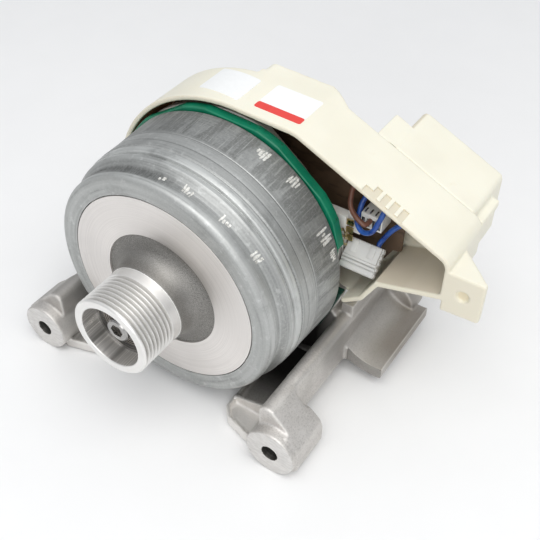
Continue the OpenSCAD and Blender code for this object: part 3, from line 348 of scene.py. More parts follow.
def loft(name, *forms, sharp_deg=40):
    """One object of closed forms, each drawn through rings that all have as many points."""
    verts = []
    faces = []
    for rings in forms:
        first = len(verts)
        count = len(rings[0])
        last = first + count * (len(rings) - 1)
        verts += [point for ring in rings for point in ring]
        faces += [tuple(range(first, first + count)), tuple(range(last + count - 1, last - 1, -1))]
        for here in range(first, last, count):
            for k in range(count):
                after = (k + 1) % count
                faces.append((here + k, here + count + k, here + count + after, here + after))
    return mesh_object(name, verts, faces, sharp_deg)


def prism(name, outline, start, end):
    """A closed outline of (x, z) points drawn out from one station to another."""
    return loft(name, [[place(x, station, z) for x, z in outline] for station in (start, end)])


def cylinder_tool(x, z, radius, start, end, sides=96):
    """A closed cylinder along the motor axis direction, used as a cutter."""
    turns = [2 * math.pi * k / sides for k in range(sides)]
    outline = [(x + radius * math.cos(turn), z + radius * math.sin(turn)) for turn in turns]
    return prism("cutter", outline, start, end)


def smooth_path(points, per_span=8):
    """A Catmull-Rom curve through points."""
    points = [Vector(p) for p in points]
    padded = [2 * points[0] - points[1]] + points + [2 * points[-1] - points[-2]]
    path = []
    for i in range(1, len(padded) - 2):
        a, b, c, d = padded[i - 1:i + 3]
        for k in range(per_span):
            t = k / per_span
            path.append(0.5 * (2 * b + (c - a) * t + (2 * a - 5 * b + 4 * c - d) * t * t
                               + (3 * b - a - 3 * c + d) * t ** 3))
    path.append(points[-1])
    return path


def heading(path, i):
    """Direction of a path at one of its points."""
    return (path[min(i + 1, len(path) - 1)] - path[max(i - 1, 0)]).normalized()


def tube(name, points, radius, sides=20):
    """A round tube through points of the drawing."""
    path = smooth_path(points)
    side = (path[1] - path[0]).orthogonal().normalized()
    rings = []
    for i, here in enumerate(path):
        ahead = heading(path, i)
        side = (side - ahead * side.dot(ahead)).normalized()
        other = ahead.cross(side)
        turns = [2 * math.pi * k / sides for k in range(sides)]
        ring = [here + radius * (side * math.cos(turn) + other * math.sin(turn)) for turn in turns]
        rings.append([place(*point) for point in ring])
    return loft(name, rings, sharp_deg=60)


def bent_strip(name, points, height, thick):
    """A bent metal strip on edge through points of the drawing."""
    path = smooth_path(points, 6)
    up = Vector((0, 0, height / 2))
    rings = []
    for i, here in enumerate(path):
        ahead = heading(path, i)
        side = Vector((-ahead.y, ahead.x, 0)).normalized() * thick / 2
        corners = (here + side + up, here - side + up, here - side - up, here + side - up)
        rings.append([place(*corner) for corner in corners])
    return loft(name, rings)


def rounded_block(name, size, radius, where):
    """A block with rounded edges, moved from the origin to its place."""
    bm = bmesh.new()
    bmesh.ops.create_cube(bm, size=1)
    bmesh.ops.scale(bm, vec=Vector(size) * MM, verts=bm.verts)
    bmesh.ops.bevel(bm, geom=bm.edges[:], offset=radius * MM, segments=3, profile=0.5,
                    affect="EDGES", clamp_overlap=True)
    obj = bmesh_object(name, bm)
    obj.data.transform(where)
    return obj


def join(name, parts):
    """One object made of several, which are then gone."""
    bm = bmesh.new()
    for part in parts:
        bm.from_mesh(part.data)
        bpy.data.objects.remove(part)
    return bmesh_object(name, bm)


def boolean(obj, tool, operation="DIFFERENCE"):
    """Cuts or joins another closed mesh, which is then gone."""
    modifier = obj.modifiers.new("cut", "BOOLEAN")
    modifier.operation = operation
    modifier.solver = "MANIFOLD"
    modifier.object = tool
    bpy.context.view_layer.update()
    apply_modifiers(obj)
    bpy.data.objects.remove(tool)


def smooth_modifier(obj, rounds):
    """Smooths an object's points a number of times."""
    smooth = obj.modifiers.new("smooth", "SMOOTH")
    smooth.factor = 0.5
    smooth.iterations = rounds
    return smooth


def softened(name, node, voxel, rounds=4):
    """A copy of a node with its edges and corners rounded as a casting or moulding has them."""
    obj = add_object(name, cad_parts[node].data.copy())
    tidy_mesh(obj, 1e-6)
    remesh = obj.modifiers.new("remesh", "REMESH")
    remesh.mode = "VOXEL"
    remesh.voxel_size = voxel * MM
    smooth_modifier(obj, rounds)
    apply_modifiers(obj)
    return obj


def store(obj, name, values):
    """Keeps a number for each point of a mesh, for its material."""
    layer = obj.data.attributes.new(name, "FLOAT", "POINT")
    layer.data.foreach_set("value", values)


def mark_edges(obj):
    """Stores how far each point stands out of its neighbours, for wear and a painted highlight along the
    edges.
    """
    mesh = obj.data
    count = len(mesh.vertices)
    at = np.empty(count * 3)
    normal = np.empty(count * 3)
    ends = np.empty(len(mesh.edges) * 2, dtype=np.int64)
    mesh.vertices.foreach_get("co", at)
    mesh.vertices.foreach_get("normal", normal)
    mesh.edges.foreach_get("vertices", ends)
    at = at.reshape(-1, 3)
    normal = normal.reshape(-1, 3)
    first, second = ends.reshape(-1, 2).T
    along = at[first] - at[second]
    along /= np.linalg.norm(along, axis=1)[:, None] + 1e-12
    bulge = np.zeros(count)
    shares = np.zeros(count)
    for end, sign in ((first, 1), (second, -1)):
        np.add.at(bulge, end, sign * (normal[end] * along).sum(1))
        np.add.at(shares, end, 1)
    edge_wear_and_highlight = np.clip(bulge / np.maximum(shares, 1) * WEAR_AND_HIGHLIGHT_GAIN, 0, 1)
    store(obj, "edge_wear_and_highlight", edge_wear_and_highlight.astype(np.float32))


# Material helpers

class Paint:
    """A node material that is written step by step."""

    def __init__(self, name, **shader):
        self.material = bpy.data.materials.new(name)
        self.material.use_nodes = True
        self.tree = self.material.node_tree
        self.shader = self.tree.nodes["Principled BSDF"]
        self.set(**shader)
        self.tone = None
        self.where = self.add("ShaderNodeTexCoord").outputs["Object"]

    def set(self, **values):
        """Sets or links the shader's sockets; underscores stand for spaces."""
        for key, value in values.items():
            self.feed(self.shader.inputs[key.replace("_", " ")], value)

    def feed(self, socket, value):
        """Links a socket to another, or sets its value."""
        if isinstance(value, bpy.types.NodeSocket):
            self.tree.links.new(value, socket)
        elif socket.type == "RGBA" and len(value) == 3:
            socket.default_value = (*value, 1)
        else:
            socket.default_value = value

    def add(self, kind, inputs=(), **settings):
        """A node with its settings and inputs."""
        made = self.tree.nodes.new(kind)
        for key, value in settings.items():
            setattr(made, key, value)
        for key, value in dict(inputs).items():
            self.feed(made.inputs[key], value)
        return made

    def math(self, operation, a, b=0.0):
        """What an operation makes of one or two numbers."""
        return self.add("ShaderNodeMath", {0: a, 1: b}, operation=operation).outputs[0]

    def times(self, product, *factors):
        """A product of numbers."""
        for factor in factors:
            product = self.math("MULTIPLY", product, factor)
        return product

    def span(self, value, low, high, start=0.0, end=1.0, soft=True):
        """A number that goes from start to end while value goes from low to high."""
        made = self.add("ShaderNodeMapRange", {0: value, 1: low, 2: high, 3: start, 4: end},
                        interpolation_type="SMOOTHSTEP" if soft else "LINEAR")
        return made.outputs[0]

    def within(self, value, low, high, soft):
        """One between low and high, with soft ends."""
        return self.times(self.span(value, low - soft, low + soft),
                          self.span(value, high - soft, high + soft, 1.0, 0.0))

    def noise(self, scale, detail=3.0, rough=0.5, where=None):
        """A noise between zero and one."""
        made = self.add("ShaderNodeTexNoise", {"Vector": where or self.where, "Scale": scale,
                                               "Detail": detail, "Roughness": rough})
        return made.outputs[0]

    def mix(self, share, a, b):
        """A blend of two colours."""
        return self.add("ShaderNodeMix", {0: share, 6: a, 7: b}, data_type="RGBA").outputs[2]

    def share(self, value):
        """A number as it is, or the span that a tuple describes."""
        return self.span(*value) if isinstance(value, tuple) else value

    def base(self, share, low, high):
        """Starts the tone with a blend of two colours."""
        self.tone = self.mix(self.share(share), low, high)

    def stain(self, colour, *shares):
        """Lays a colour over the tone, as strong as the product of the shares."""
        strength = self.times(*[self.share(value) for value in shares])
        self.tone = self.mix(strength, self.tone, colour)

    def ramp(self, value, *stops):
        """Colours along a number."""
        made = self.add("ShaderNodeValToRGB", {0: value})
        elements = made.color_ramp.elements
        elements.remove(elements[1])
        elements[0].position = stops[0][0]
        elements[0].color = (*stops[0][1], 1)
        for at, colour in stops[1:]:
            elements.new(at).color = (*colour, 1)
        return made.outputs[0]

    def vectors(self, operation, a, b):
        """What an operation makes of two vectors: a vector and a number."""
        return self.add("ShaderNodeVectorMath", {0: a, 1: b}, operation=operation).outputs

    def stretched(self, x, y, z):
        """The place on the object, stretched along its axes."""
        return self.vectors("MULTIPLY", self.where, (x, y, z))[0]

    def drawing(self):
        """Place across, station and height on the drawing."""
        x, y, z = self.add("ShaderNodeSeparateXYZ", {0: self.where}).outputs
        station = self.math("SUBTRACT", self.math("DIVIDE", y, MM), FACE)
        return self.math("DIVIDE", x, MM), station, self.math("DIVIDE", z, MM)

    def around_axis(self):
        """Radius, angle in radians and station about the motor axis."""
        x, station, z = self.drawing()
        square = self.math("ADD", self.math("POWER", x, 2.0), self.math("POWER", z, 2.0))
        return self.math("SQRT", square), self.math("ARCTAN2", z, x), station

    def scaled(self, *pairs):
        """A vector of numbers, each times its own factor."""
        parts = [self.times(value, factor) for value, factor in pairs]
        return self.add("ShaderNodeCombineXYZ", enumerate(parts)).outputs[0]

    def rings(self, fine, slow, detail=3.0):
        """Fine lines round the motor axis, as a lathe leaves them."""
        radius, angle, station = self.around_axis()
        return self.noise(1.0, detail, where=self.scaled((radius, fine), (angle, slow), (station, fine)))

    def attribute(self, name):
        """A number stored on the mesh."""
        return self.add("ShaderNodeAttribute", attribute_name=name).outputs["Fac"]

    def finish(self, rough, relief=None, depth=0.0, strength=0.5):
        """The material with its tone, roughness and relief."""
        self.set(Base_Color=self.tone, Roughness=self.share(rough))
        if relief:
            bump = self.add("ShaderNodeBump", {"Height": relief, "Distance": depth * MM,
                                               "Strength": strength})
            self.set(Normal=bump.outputs[0])
        return self.material


# Materials

def turned_aluminium():
    """Face cut on a lathe: light and warm, with fine rings."""
    paint = Paint("turned_aluminium", Metallic=1.0, Anisotropic=0.6)
    paint.set(Tangent=paint.add("ShaderNodeTangent", direction_type="RADIAL", axis="Y").outputs[0])
    rings = paint.rings(4.0, 0.5)
    cloud = paint.noise(38.0, 4.0)
    paint.base((rings, 0.3, 0.7), (0.74, 0.71, 0.685), (0.84, 0.81, 0.785))
    paint.stain((0.68, 0.655, 0.63), (cloud, 0.35, 0.8, 0.0, 0.4))
    return paint.finish((rings, 0.2, 0.8, 0.4, 0.5), rings, 0.02, 0.4)


def pulley_aluminium():
    """Bright cut ribs and rim, with painted shade in the grooves."""
    paint = Paint("pulley_aluminium", Metallic=0.75)
    radius, _, station = paint.around_axis()
    rings = paint.rings(5.0, 0.3, 2.0)
    cloud = paint.noise(90.0)
    paint.base(rings, (0.76, 0.75, 0.73), (0.9, 0.89, 0.87))
    paint.stain((0.66, 0.645, 0.62), (cloud, 0.45, 0.7, 0.0, 0.25))
    # Painted shade in the grooves between the ribs
    paint.stain((0.48, 0.47, 0.455), (station, RIM_FRONT + 0.8, RIM_FRONT + 1.2),
                (radius, PULLEY_R - 1.5, PULLEY_R - 0.4, 0.4, 0.0))
    return paint.finish((rings, 0.3, 0.7, 0.3, 0.42))


def bore_aluminium():
    """Reamed bore with light and dark streaks along the axis, painted as reflections."""
    paint = Paint("bore_aluminium", Metallic=0.75)
    _, angle, station = paint.around_axis()
    streaks = paint.noise(1.0, 2.0, where=paint.scaled((angle, 3.2), (station, 0.006)))
    lines = paint.noise(1.0, 1.0, where=paint.scaled((angle, 17.0), (station, 0.01)))
    # Painted reflections: light and dark streaks along the axis
    paint.tone = paint.ramp(streaks, (0.36, (0.36, 0.35, 0.335)), (0.47, (0.8, 0.78, 0.755)),
                            (0.54, (0.6, 0.585, 0.565)), (0.62, (0.96, 0.94, 0.91)))
    # Painted glints: near-white lines along the axis
    paint.stain((1.0, 0.98, 0.94), (lines, 0.62, 0.66))
    return paint.finish((streaks, 0.3, 0.7, 0.34, 0.26))


def blasted_aluminium():
    """Recess and neck left as cast and blasted: dark and grainy, lighter towards the pulley."""
    paint = Paint("blasted_aluminium", Metallic=1.0)
    radius = paint.around_axis()[0]
    grain = paint.noise(2600.0, 2.0)
    cloud = paint.noise(60.0, 4.0)
    paint.base((grain, 0.32, 0.68), (0.165, 0.16, 0.15), (0.35, 0.34, 0.322))
    paint.stain((0.22, 0.21, 0.195), (cloud, 0.4, 0.7, 0.0, 0.35))
    paint.stain((0.5, 0.488, 0.468), (radius, NECK_R + 0.4, NECK_R + 4.4, 0.22, 0.0))
    return paint.finish((grain, 0.2, 0.8, 0.46, 0.6), grain, 0.08, 0.7)


def plated_steel():
    """Dull plated sheet of the can: bands along the axis with painted highlight and shade in them, smoky
    streaks, soot in its front groove and darker lines in its narrower grooves.
    """
    paint = Paint("plated_steel", Metallic=0.85)
    radius, angle, station = paint.around_axis()
    arc = paint.times(angle, 65.0)
    rolled = paint.noise(1.0, 3.0, 0.55, paint.scaled((arc, 0.02), (station, 1.1), (radius, 0.5)))
    patches = paint.noise(1.0, 3.0, 0.6, paint.scaled((arc, 0.2), (station, 0.035)))
    streaks = paint.noise(1.0, 4.0, 0.6, paint.scaled((arc, 1.1), (station, 0.05), (1.0, 3.0)))
    cloud = paint.noise(70.0, 6.0, 0.65)
    scuffs = paint.noise(240.0, 5.0, 0.7)
    grain = paint.noise(1100.0)
    # The tones along the stations hold painted highlight and shade besides the plating's own bands
    paint.tone = paint.ramp(paint.math("DIVIDE", station, CAN_L),
                            *[(s / CAN_L, (0.985 * t, 1.005 * t, 0.985 * t)) for s, t in CAN_TONES])
    paint.stain((0.2, 0.206, 0.2), (cloud, 0.28, 0.52, 0.5, 0.0))
    paint.stain((0.6, 0.61, 0.6), (rolled, 0.44, 0.66, 0.0, 0.35))
    paint.stain((0.22, 0.225, 0.22), (rolled, 0.3, 0.42, 0.4, 0.0))
    paint.stain((0.7, 0.71, 0.7), (scuffs, 0.55, 0.68, 0.0, 0.4))
    rear = paint.span(station, 32.5, 36.0)
    by_angle = paint.ramp(paint.span(angle, -math.pi, math.pi, soft=False),
                          *[((deg + 180) / 360, (t, 1.02 * t, t)) for deg, t in REAR_TONES])
    paint.stain(by_angle, rear, (cloud, 0.3, 0.6, 0.75, 0.45))
    paint.stain((0.19, 0.195, 0.188), rear, (patches, 0.44, 0.56, 0.0, 0.7))
    paint.stain((0.6, 0.61, 0.59), rear, (streaks, 0.52, 0.66, 0.0, 0.45))
    paint.stain((0.13, 0.133, 0.128), paint.within(station, *CAN_GROOVE), (angle, 1.25, 1.7),
                (streaks, 0.35, 0.65, 0.9, 0.5))
    seams = paint.math("ADD", *[paint.within(station, *line) for line in CAN_SEAMS])
    paint.stain((0.16, 0.163, 0.158), seams, 0.6)
    collar = paint.math("ADD", *[paint.within(station, *line) for line in CAN_COLLAR])
    paint.stain((0.17, 0.173, 0.168), collar, (angle, 0.5, 1.1, 0.75, 0.25), (streaks, 0.3, 0.6, 0.4, 1.0))
    paint.stain((0.64, 0.65, 0.64), (grain, 0.35, 0.75, 0.0, 0.2))
    relief = paint.math("ADD", grain, paint.times(streaks, 0.8))
    return paint.finish((cloud, 0.3, 0.7, 0.46, 0.58), relief, 0.06)


def scraped_steel():
    """Pale places where a tool went through the plating."""
    paint = Paint("scraped_steel", Metallic=0.3)
    lines = paint.noise(900.0, 4.0)
    paint.tone = paint.ramp(lines, (0.3, (0.42, 0.415, 0.38)), (0.5, (0.72, 0.71, 0.67)),
                            (0.7, (0.87, 0.87, 0.84)))
    return paint.finish((lines, 0.3, 0.7, 0.35, 0.55))


def cast_aluminium():
    """Fine matte die casting with wear and a painted highlight on its edges, painted shade in the trough
    under the rotor, on its left arm, beside the can and towards the back, and painted light on the tray in
    front of the trough.
    """
    paint = Paint("cast_aluminium", Metallic=0.8)
    radius, _, station = paint.around_axis()
    x = paint.drawing()[0]
    off_side = paint.math("ABSOLUTE", x)
    trough = paint.attribute("trough")
    grain = paint.noise(1100.0, 5.0, 0.7)
    cloud = paint.noise(30.0, 6.0, 0.65)
    flow = paint.noise(1.0, 5.0, 0.6, paint.stretched(70.0, 14.0, 70.0))
    paint.tone = paint.ramp(cloud, (0.3, (0.52, 0.498, 0.472)), (0.52, (0.64, 0.617, 0.59)),
                            (0.75, (0.73, 0.707, 0.68)))
    paint.stain((0.4, 0.38, 0.35), (flow, 0.45, 0.7, 0.0, 0.35))
    paint.stain((0.3, 0.285, 0.265), (grain, 0.36, 0.5, 0.35, 0.0))
    paint.stain((0.78, 0.76, 0.735), (grain, 0.5, 0.7, 0.0, 0.5))
    # Painted shade: the casting darkens towards the back
    paint.stain((0.36, 0.342, 0.32), (station, 30.0, 70.0, 0.0, 0.45))
    # Painted shade on the left arm and beside the can, brown stain on the wings
    paint.stain((0.3, 0.287, 0.27), (x, -50.0, -40.0, 1.0, 0.0), (station, -14.0, -6.0, 0.15, 0.6))
    paint.stain((0.25, 0.24, 0.225), paint.within(station, 34.0, 57.0, 6.0), (radius, 78.0, 92.0, 0.6, 0.0))
    paint.stain((0.25, 0.21, 0.17), (off_side, RAIL_OUT + 6, RAIL_OUT + 16, 0.0, 0.55),
                paint.within(station, WING_FRONT + 10, WING_FRONT + 54, 9.0), (cloud, 0.25, 0.6, 0.5, 1.0))
    # Painted light on the tray at the front of the trough, wear with a painted highlight on the edges,
    # painted shade on the cut front faces of the wings and in the trough
    # Painted light on the tray at the front of the trough
    paint.stain((0.88, 0.86, 0.83), trough, (station, 4.0, 8.0, 0.8, 0.0))
    # Lighter standing edges: partly wear, partly a painted highlight
    paint.stain((0.88, 0.86, 0.83), paint.attribute("edge_wear_and_highlight"), (cloud, 0.2, 0.6, 0.1, 0.45))
    # Painted shade on the cut front faces of the wings
    wing_front_shade = paint.mix(paint.span(grain, 0.3, 0.7), (0.3, 0.287, 0.27), (0.42, 0.402, 0.378))
    paint.stain(wing_front_shade, paint.within(station, WING_FRONT - 1, WING_FRONT + WING_CUT + 0.1, 0.05),
                (off_side, RAIL_OUT + 1.5, RAIL_OUT + 2))
    # Painted shade in the trough under the rotor, fading in behind the tray
    paint.stain((0.04, 0.038, 0.036), trough, (station, 6.0, 36.0, 0.1, 1.0), (station, 5.0, 9.0))
    return paint.finish((grain, 0.2, 0.8, 0.44, 0.62), grain, 0.16, 0.7)


def machined_casting():
    """Faces of the casting that were milled flat."""
    paint = Paint("machined_casting", Metallic=0.9)
    grain = paint.noise(900.0, 4.0)
    sweep = paint.noise(1.0, where=paint.stretched(260.0, 20.0, 900.0))
    paint.base((sweep, 0.3, 0.7), (0.64, 0.625, 0.605), (0.74, 0.725, 0.705))
    return paint.finish((grain, 0.3, 0.7, 0.46, 0.56), grain, 0.04, 0.4)


def banded(name, low, high, rough, bands, relief, **shader):
    """Fine bands: scale, distortion and direction. For stacked sheets, wound wire or a drilled hole."""
    paint = Paint(name, **shader)
    scale, distortion, direction = bands
    wave = paint.add("ShaderNodeTexWave", {"Vector": paint.where, "Scale": scale, "Distortion": distortion},
                     bands_direction=direction).outputs["Fac"]
    paint.base(wave, low, high)
    return paint.finish((wave, 0.0, 1.0, *rough), wave, *relief)


# Settings that the pale plastics share; their radius is in metres
PLASTIC = {"IOR": 1.5, "Subsurface_Radius": (0.004, 0.003, 0.002), "Subsurface_Scale": 0.4}


def moulded(name, low, high, rough):
    """Moulded plastic with a faint cloud in its colour and a fine grain."""
    paint = Paint(name, Subsurface_Weight=0.06, **PLASTIC)
    cloud = paint.noise(30.0, 4.0)
    paint.base((cloud, 0.3, 0.7), low, high)
    return paint.finish((cloud, 0.3, 0.7, rough - 0.04, rough + 0.06), paint.noise(1800.0, 2.0), 0.02)


def cover_plastic():
    """Cream moulding, darker on its front rim, with painted shade in the comb's pockets and inside under the
    slope, a brown lining in the round part, stained in the dimple.
    """
    paint = Paint("cover_plastic", Subsurface_Weight=0.05, **PLASTIC)
    x, station, z = paint.drawing()
    radius = paint.around_axis()[0]
    behind = paint.math("SUBTRACT", station, COVER_FRONT)
    along_normal = paint.math("DIVIDE", paint.vectors("DOT_PRODUCT", paint.where, SLOPE_NORMAL)[1], MM)
    depth = paint.math("SUBTRACT", SLOPE_OUT, along_normal)
    cloud = paint.noise(25.0, 4.0)
    paint.base((cloud, 0.3, 0.7), (0.82, 0.79, 0.665), (0.865, 0.84, 0.715))
    # Painted shade in the pockets of the comb
    comb = paint.times(paint.span(depth, 0.3, 0.6, 0.0, 0.75), paint.within(x, 67.0, 96.5, 1.0),
                       paint.span(depth, SLOPE_OUT - 60, SLOPE_OUT - 30, 1.0, 0.0))
    rim = paint.span(behind, 0.3, 0.9, 0.5, 0.0)
    paint.stain((0.66, 0.6, 0.47), paint.math("MAXIMUM", rim, comb))
    # Painted shade inside the cover under its slope, stronger towards the right
    paint.stain((0.66, 0.58, 0.46), (behind, 0.6, 1.6), (station, BOX_FRONT - 4, BOX_FRONT - 3, 1.0, 0.0),
                (x, HOOD_SIDE - 0.5, HOOD_SIDE + 0.5, 1.0, 0.0), (depth, 3.0, 6.0, 0.0, 0.8),
                (x, 68.0, 84.0))
    # Brown lining of the round part; it has no end at the back, so the back wall's outside gets it too
    paint.stain((0.6, 0.36, 0.19), (radius, HOOD_IN_R + 0.3, HOOD_IN_R + 0.9, 1.0, 0.0), (behind, 1.0, 2.0),
                (x, 10.0, 20.0, 1.0, 0.0))
    from_dimple = paint.vectors("DISTANCE", paint.scaled((x, 1.0), (z, 1.0)), (*DIMPLE_AT, 0))[1]
    paint.stain((0.7, 0.6, 0.38), (from_dimple, 2.0, 3.2, 0.65, 0.0), (behind, 1.8, 2.4, 1.0, 0.0))
    paint.stain((0.75, 0.66, 0.48), (paint.noise(160.0), 0.68, 0.8, 0.0, 0.25))
    return paint.finish((cloud, 0.3, 0.7, 0.38, 0.48), paint.noise(1800.0, 2.0), 0.02)


def green_plastic():
    """Satin green moulding with small dark specks and painted shade low down."""
    paint = Paint("green_plastic", IOR=1.5)
    height = paint.drawing()[2]
    cloud = paint.noise(60.0, 4.0)
    specks = paint.noise(520.0, 2.0)
    paint.base((cloud, 0.3, 0.7), (0.0, 0.135, 0.07), (0.002, 0.2, 0.105))
    # Painted shade on the lower part of the carrier
    paint.stain((0.004, 0.02, 0.014), (height, -10.0, 6.0, 0.9, 0.0))
    paint.stain((0.008, 0.025, 0.016), (specks, 0.68, 0.74, 0.0, 0.85))
    return paint.finish((cloud, 0.3, 0.7, 0.34, 0.46), paint.noise(1500.0, 2.0), 0.03)


def steel(name, low, high, rough, turned=True):
    """Ground or drawn steel with fine rings about the axis or plain grain."""
    paint = Paint(name, Metallic=1.0)
    lines = paint.rings(4.0, 0.6) if turned else paint.noise(600.0, 4.0)
    paint.base(lines, low, high)
    return paint.finish((lines, 0.25, 0.75, rough - 0.05, rough + 0.08), lines, 0.02, 0.4)


def axle_steel():
    """Turned steel, with painted light inside the driver's recess in its front end."""
    paint = Paint("axle_steel", Metallic=1.0)
    radius, _, station = paint.around_axis()
    lines = paint.rings(4.0, 0.6)
    paint.base(lines, (0.3, 0.293, 0.285), (0.48, 0.47, 0.46))
    # Painted light inside the driver's recess
    paint.stain((0.5, 0.485, 0.465), (station, AXLE_FRONT + 0.2, AXLE_FRONT + 0.9),
                (radius, DRIVE_R - 0.2, DRIVE_R + 0.2, 1.0, 0.0))
    return paint.finish((lines, 0.25, 0.75, 0.2, 0.32), lines, 0.02, 0.4)


def bearing_seal():
    """Pressed seal with concentric beads."""
    paint = Paint("bearing_seal", Metallic=0.7)
    radius = paint.around_axis()[0]
    beads = paint.math("SINE", paint.times(radius, 2 * math.pi / SEAL_BEAD))
    paint.tone = paint.ramp(paint.span(beads, -1.0, 1.0), (0.0, (0.03, 0.024, 0.02)),
                            (0.6, (0.1, 0.083, 0.07)), (0.9, (0.5, 0.46, 0.41)))
    return paint.finish((beads, -1.0, 1.0, 0.5, 0.3), beads, 0.2, 0.8)


def laminate():
    """Coated brown board with a faint weave and darker tracks under the coating."""
    paint = Paint("laminate", IOR=1.5)
    cloud = paint.noise(60.0, 5.0)
    tracks = paint.noise(1.0, 2.0, where=paint.stretched(70.0, 70.0, 320.0))
    paint.base((cloud, 0.3, 0.7), (0.09, 0.056, 0.034), (0.16, 0.102, 0.062))
    paint.stain((0.06, 0.037, 0.022), (tracks, 0.55, 0.62, 0.0, 0.6))
    return paint.finish((cloud, 0.3, 0.7, 0.42, 0.58), paint.noise(1500.0, 2.0), 0.03, 0.4)


def dull(name, low, high, rough, scale=300.0, metal=0.0, depth=0.04):
    """A plain material with grain: ferrite, black plastic, sleeve, brass or insulation."""
    paint = Paint(name, Metallic=metal)
    grain = paint.noise(scale, 4.0)
    paint.base((grain, 0.3, 0.7), low, high)
    return paint.finish((grain, 0.3, 0.7, rough - 0.06, rough + 0.06), grain, depth)


def label_paper(name, low, high):
    """Coated label stock."""
    paint = Paint(name, IOR=1.45)
    fibre = paint.noise(500.0, 5.0)
    paint.base(fibre, low, high)
    return paint.finish((fibre, 0.3, 0.7, 0.3, 0.42), fibre, 0.01, 0.4)


TURNED = turned_aluminium()
PULLEY = pulley_aluminium()
BORE = bore_aluminium()
BLASTED = blasted_aluminium()
PLATED = plated_steel()
SCRAPED = scraped_steel()
CAST = cast_aluminium()
MILLED = machined_casting()
# Painted shade: the bolt holes are coloured dark for the shade inside them
DRILLED = banded("drilled_hole", (0.07, 0.067, 0.062), (0.1, 0.096, 0.09), (0.5, 0.4), (200.0, 0.2, "Y"),
                 (0.04, 0.4), Metallic=0.7)
CREAM = cover_plastic()
WHITE = moulded("white_plastic", (0.74, 0.73, 0.69), (0.82, 0.81, 0.78), 0.36)
PLUG = moulded("plug_plastic", (0.55, 0.548, 0.53), (0.65, 0.645, 0.62), 0.36)
GREEN = green_plastic()
BEARING = steel("bearing_steel", (0.3, 0.295, 0.285), (0.46, 0.455, 0.445), 0.24)
SPRING = steel("spring_steel", (0.2, 0.19, 0.18), (0.34, 0.33, 0.32), 0.34, False)
AXLE = axle_steel()
SEAL = bearing_seal()
CORE = banded("sheet_stack", (0.09, 0.09, 0.1), (0.26, 0.26, 0.27), (0.6, 0.42), (310.0, 0.4, "Y"),
              (0.1, 0.6), Metallic=0.9)
COPPER = banded("wound_copper", (0.2, 0.06, 0.02), (0.55, 0.22, 0.09), (0.5, 0.28), (520.0, 0.8, "DIAGONAL"),
                (0.2, 0.8), Metallic=0.7, Coat_Weight=0.5)
BOARD = laminate()
FERRITE = dull("ferrite", (0.05, 0.05, 0.055), (0.11, 0.11, 0.12), 0.6, metal=0.3)
BLACK = dull("black_plastic", (0.02, 0.02, 0.02), (0.045, 0.045, 0.045), 0.45)
SLEEVE = dull("capacitor_sleeve", (0.012, 0.014, 0.035), (0.03, 0.035, 0.07), 0.3, 120.0)
BRASS = dull("brass", (0.42, 0.32, 0.14), (0.66, 0.52, 0.26), 0.3, 400.0, 1.0)
TARNISHED = dull("tarnished_brass", (0.2, 0.165, 0.09), (0.42, 0.36, 0.22), 0.42, 700.0, 0.8)
BROWN = dull("brown_insulation", (0.13, 0.055, 0.035), (0.2, 0.085, 0.055), 0.36, 150.0, depth=0.02)
BLUE = dull("blue_insulation", (0.012, 0.05, 0.26), (0.03, 0.11, 0.42), 0.32, 150.0, depth=0.02)
LABEL = label_paper("label_white", (0.86, 0.87, 0.87), (0.93, 0.94, 0.94))
STRIP = label_paper("label_red", (0.7, 0.045, 0.04), (0.82, 0.075, 0.06))


# Rotor

def pulley_outline():
    """Outer outline of the pulley from its bore's front edge to the neck: radius, station, rounding."""
    points = [(BORE_R, RIM_FRONT + 0.4, 0.15), (BORE_R + 0.4, RIM_FRONT, 0.15),
              (PULLEY_R - 0.7, RIM_FRONT, 0.3), (PULLEY_R, RIM_FRONT + 0.7, 0.3)]
    half = (PITCH - CREST) / 2
    root_r = PULLEY_R - GROOVE_D
    for i in range(GROOVES):
        middle = BELT + (i + 0.5 - GROOVES / 2) * PITCH
        points += [(PULLEY_R, middle - half, 0.15), (root_r, middle - ROOT_HALF, 0.18),
                   (root_r, middle + ROOT_HALF, 0.18), (PULLEY_R, middle + half, 0.15)]
    return points + [(PULLEY_R, NECK_FRONT, 0.3), (NECK_R, NECK_FRONT, 0.2)]


def neck_outline():
    """Round neck and flat recess."""
    points = []
    for deg in range(0, 90, 10):
        turn = math.radians(deg)
        points.append((RECESS_R - NECK_FILLET * math.cos(turn),
                       RECESS_D - NECK_FILLET * (1 - math.sin(turn)), 0))
    return points + [(RECESS_R, RECESS_D, 0.2), (RECESS_R, 0, 0.15)]


def hub_back_outline():
    """Disc, flange and sleeve, then the bore with its two seats back to the front."""
    snap_front = FRONT_SEAT - SNAP_W
    return [(DISC_R, 0, 0.25), (DISC_R, FLANGE_FRONT, 0), (FLANGE_R, FLANGE_FRONT, 0.3),
            (FLANGE_R, FLANGE_BACK, 0.3), (SLEEVE_R, FLANGE_BACK, 0.5), (SLEEVE_R, SLEEVE_BACK, 0.4),
            (BORE_R, SLEEVE_BACK, 0.3), (BORE_R, REAR_SEAT, 0), (SHOULDER_R, REAR_SEAT, 0.2),
            (SHOULDER_R, FRONT_SEAT + SEAT_L, 0.2), (BORE_R, FRONT_SEAT + SEAT_L, 0), (BORE_R, FRONT_SEAT, 0),
            (BORE_R + SNAP_D, FRONT_SEAT, 0), (BORE_R + SNAP_D, snap_front, 0), (BORE_R, snap_front, 0)]


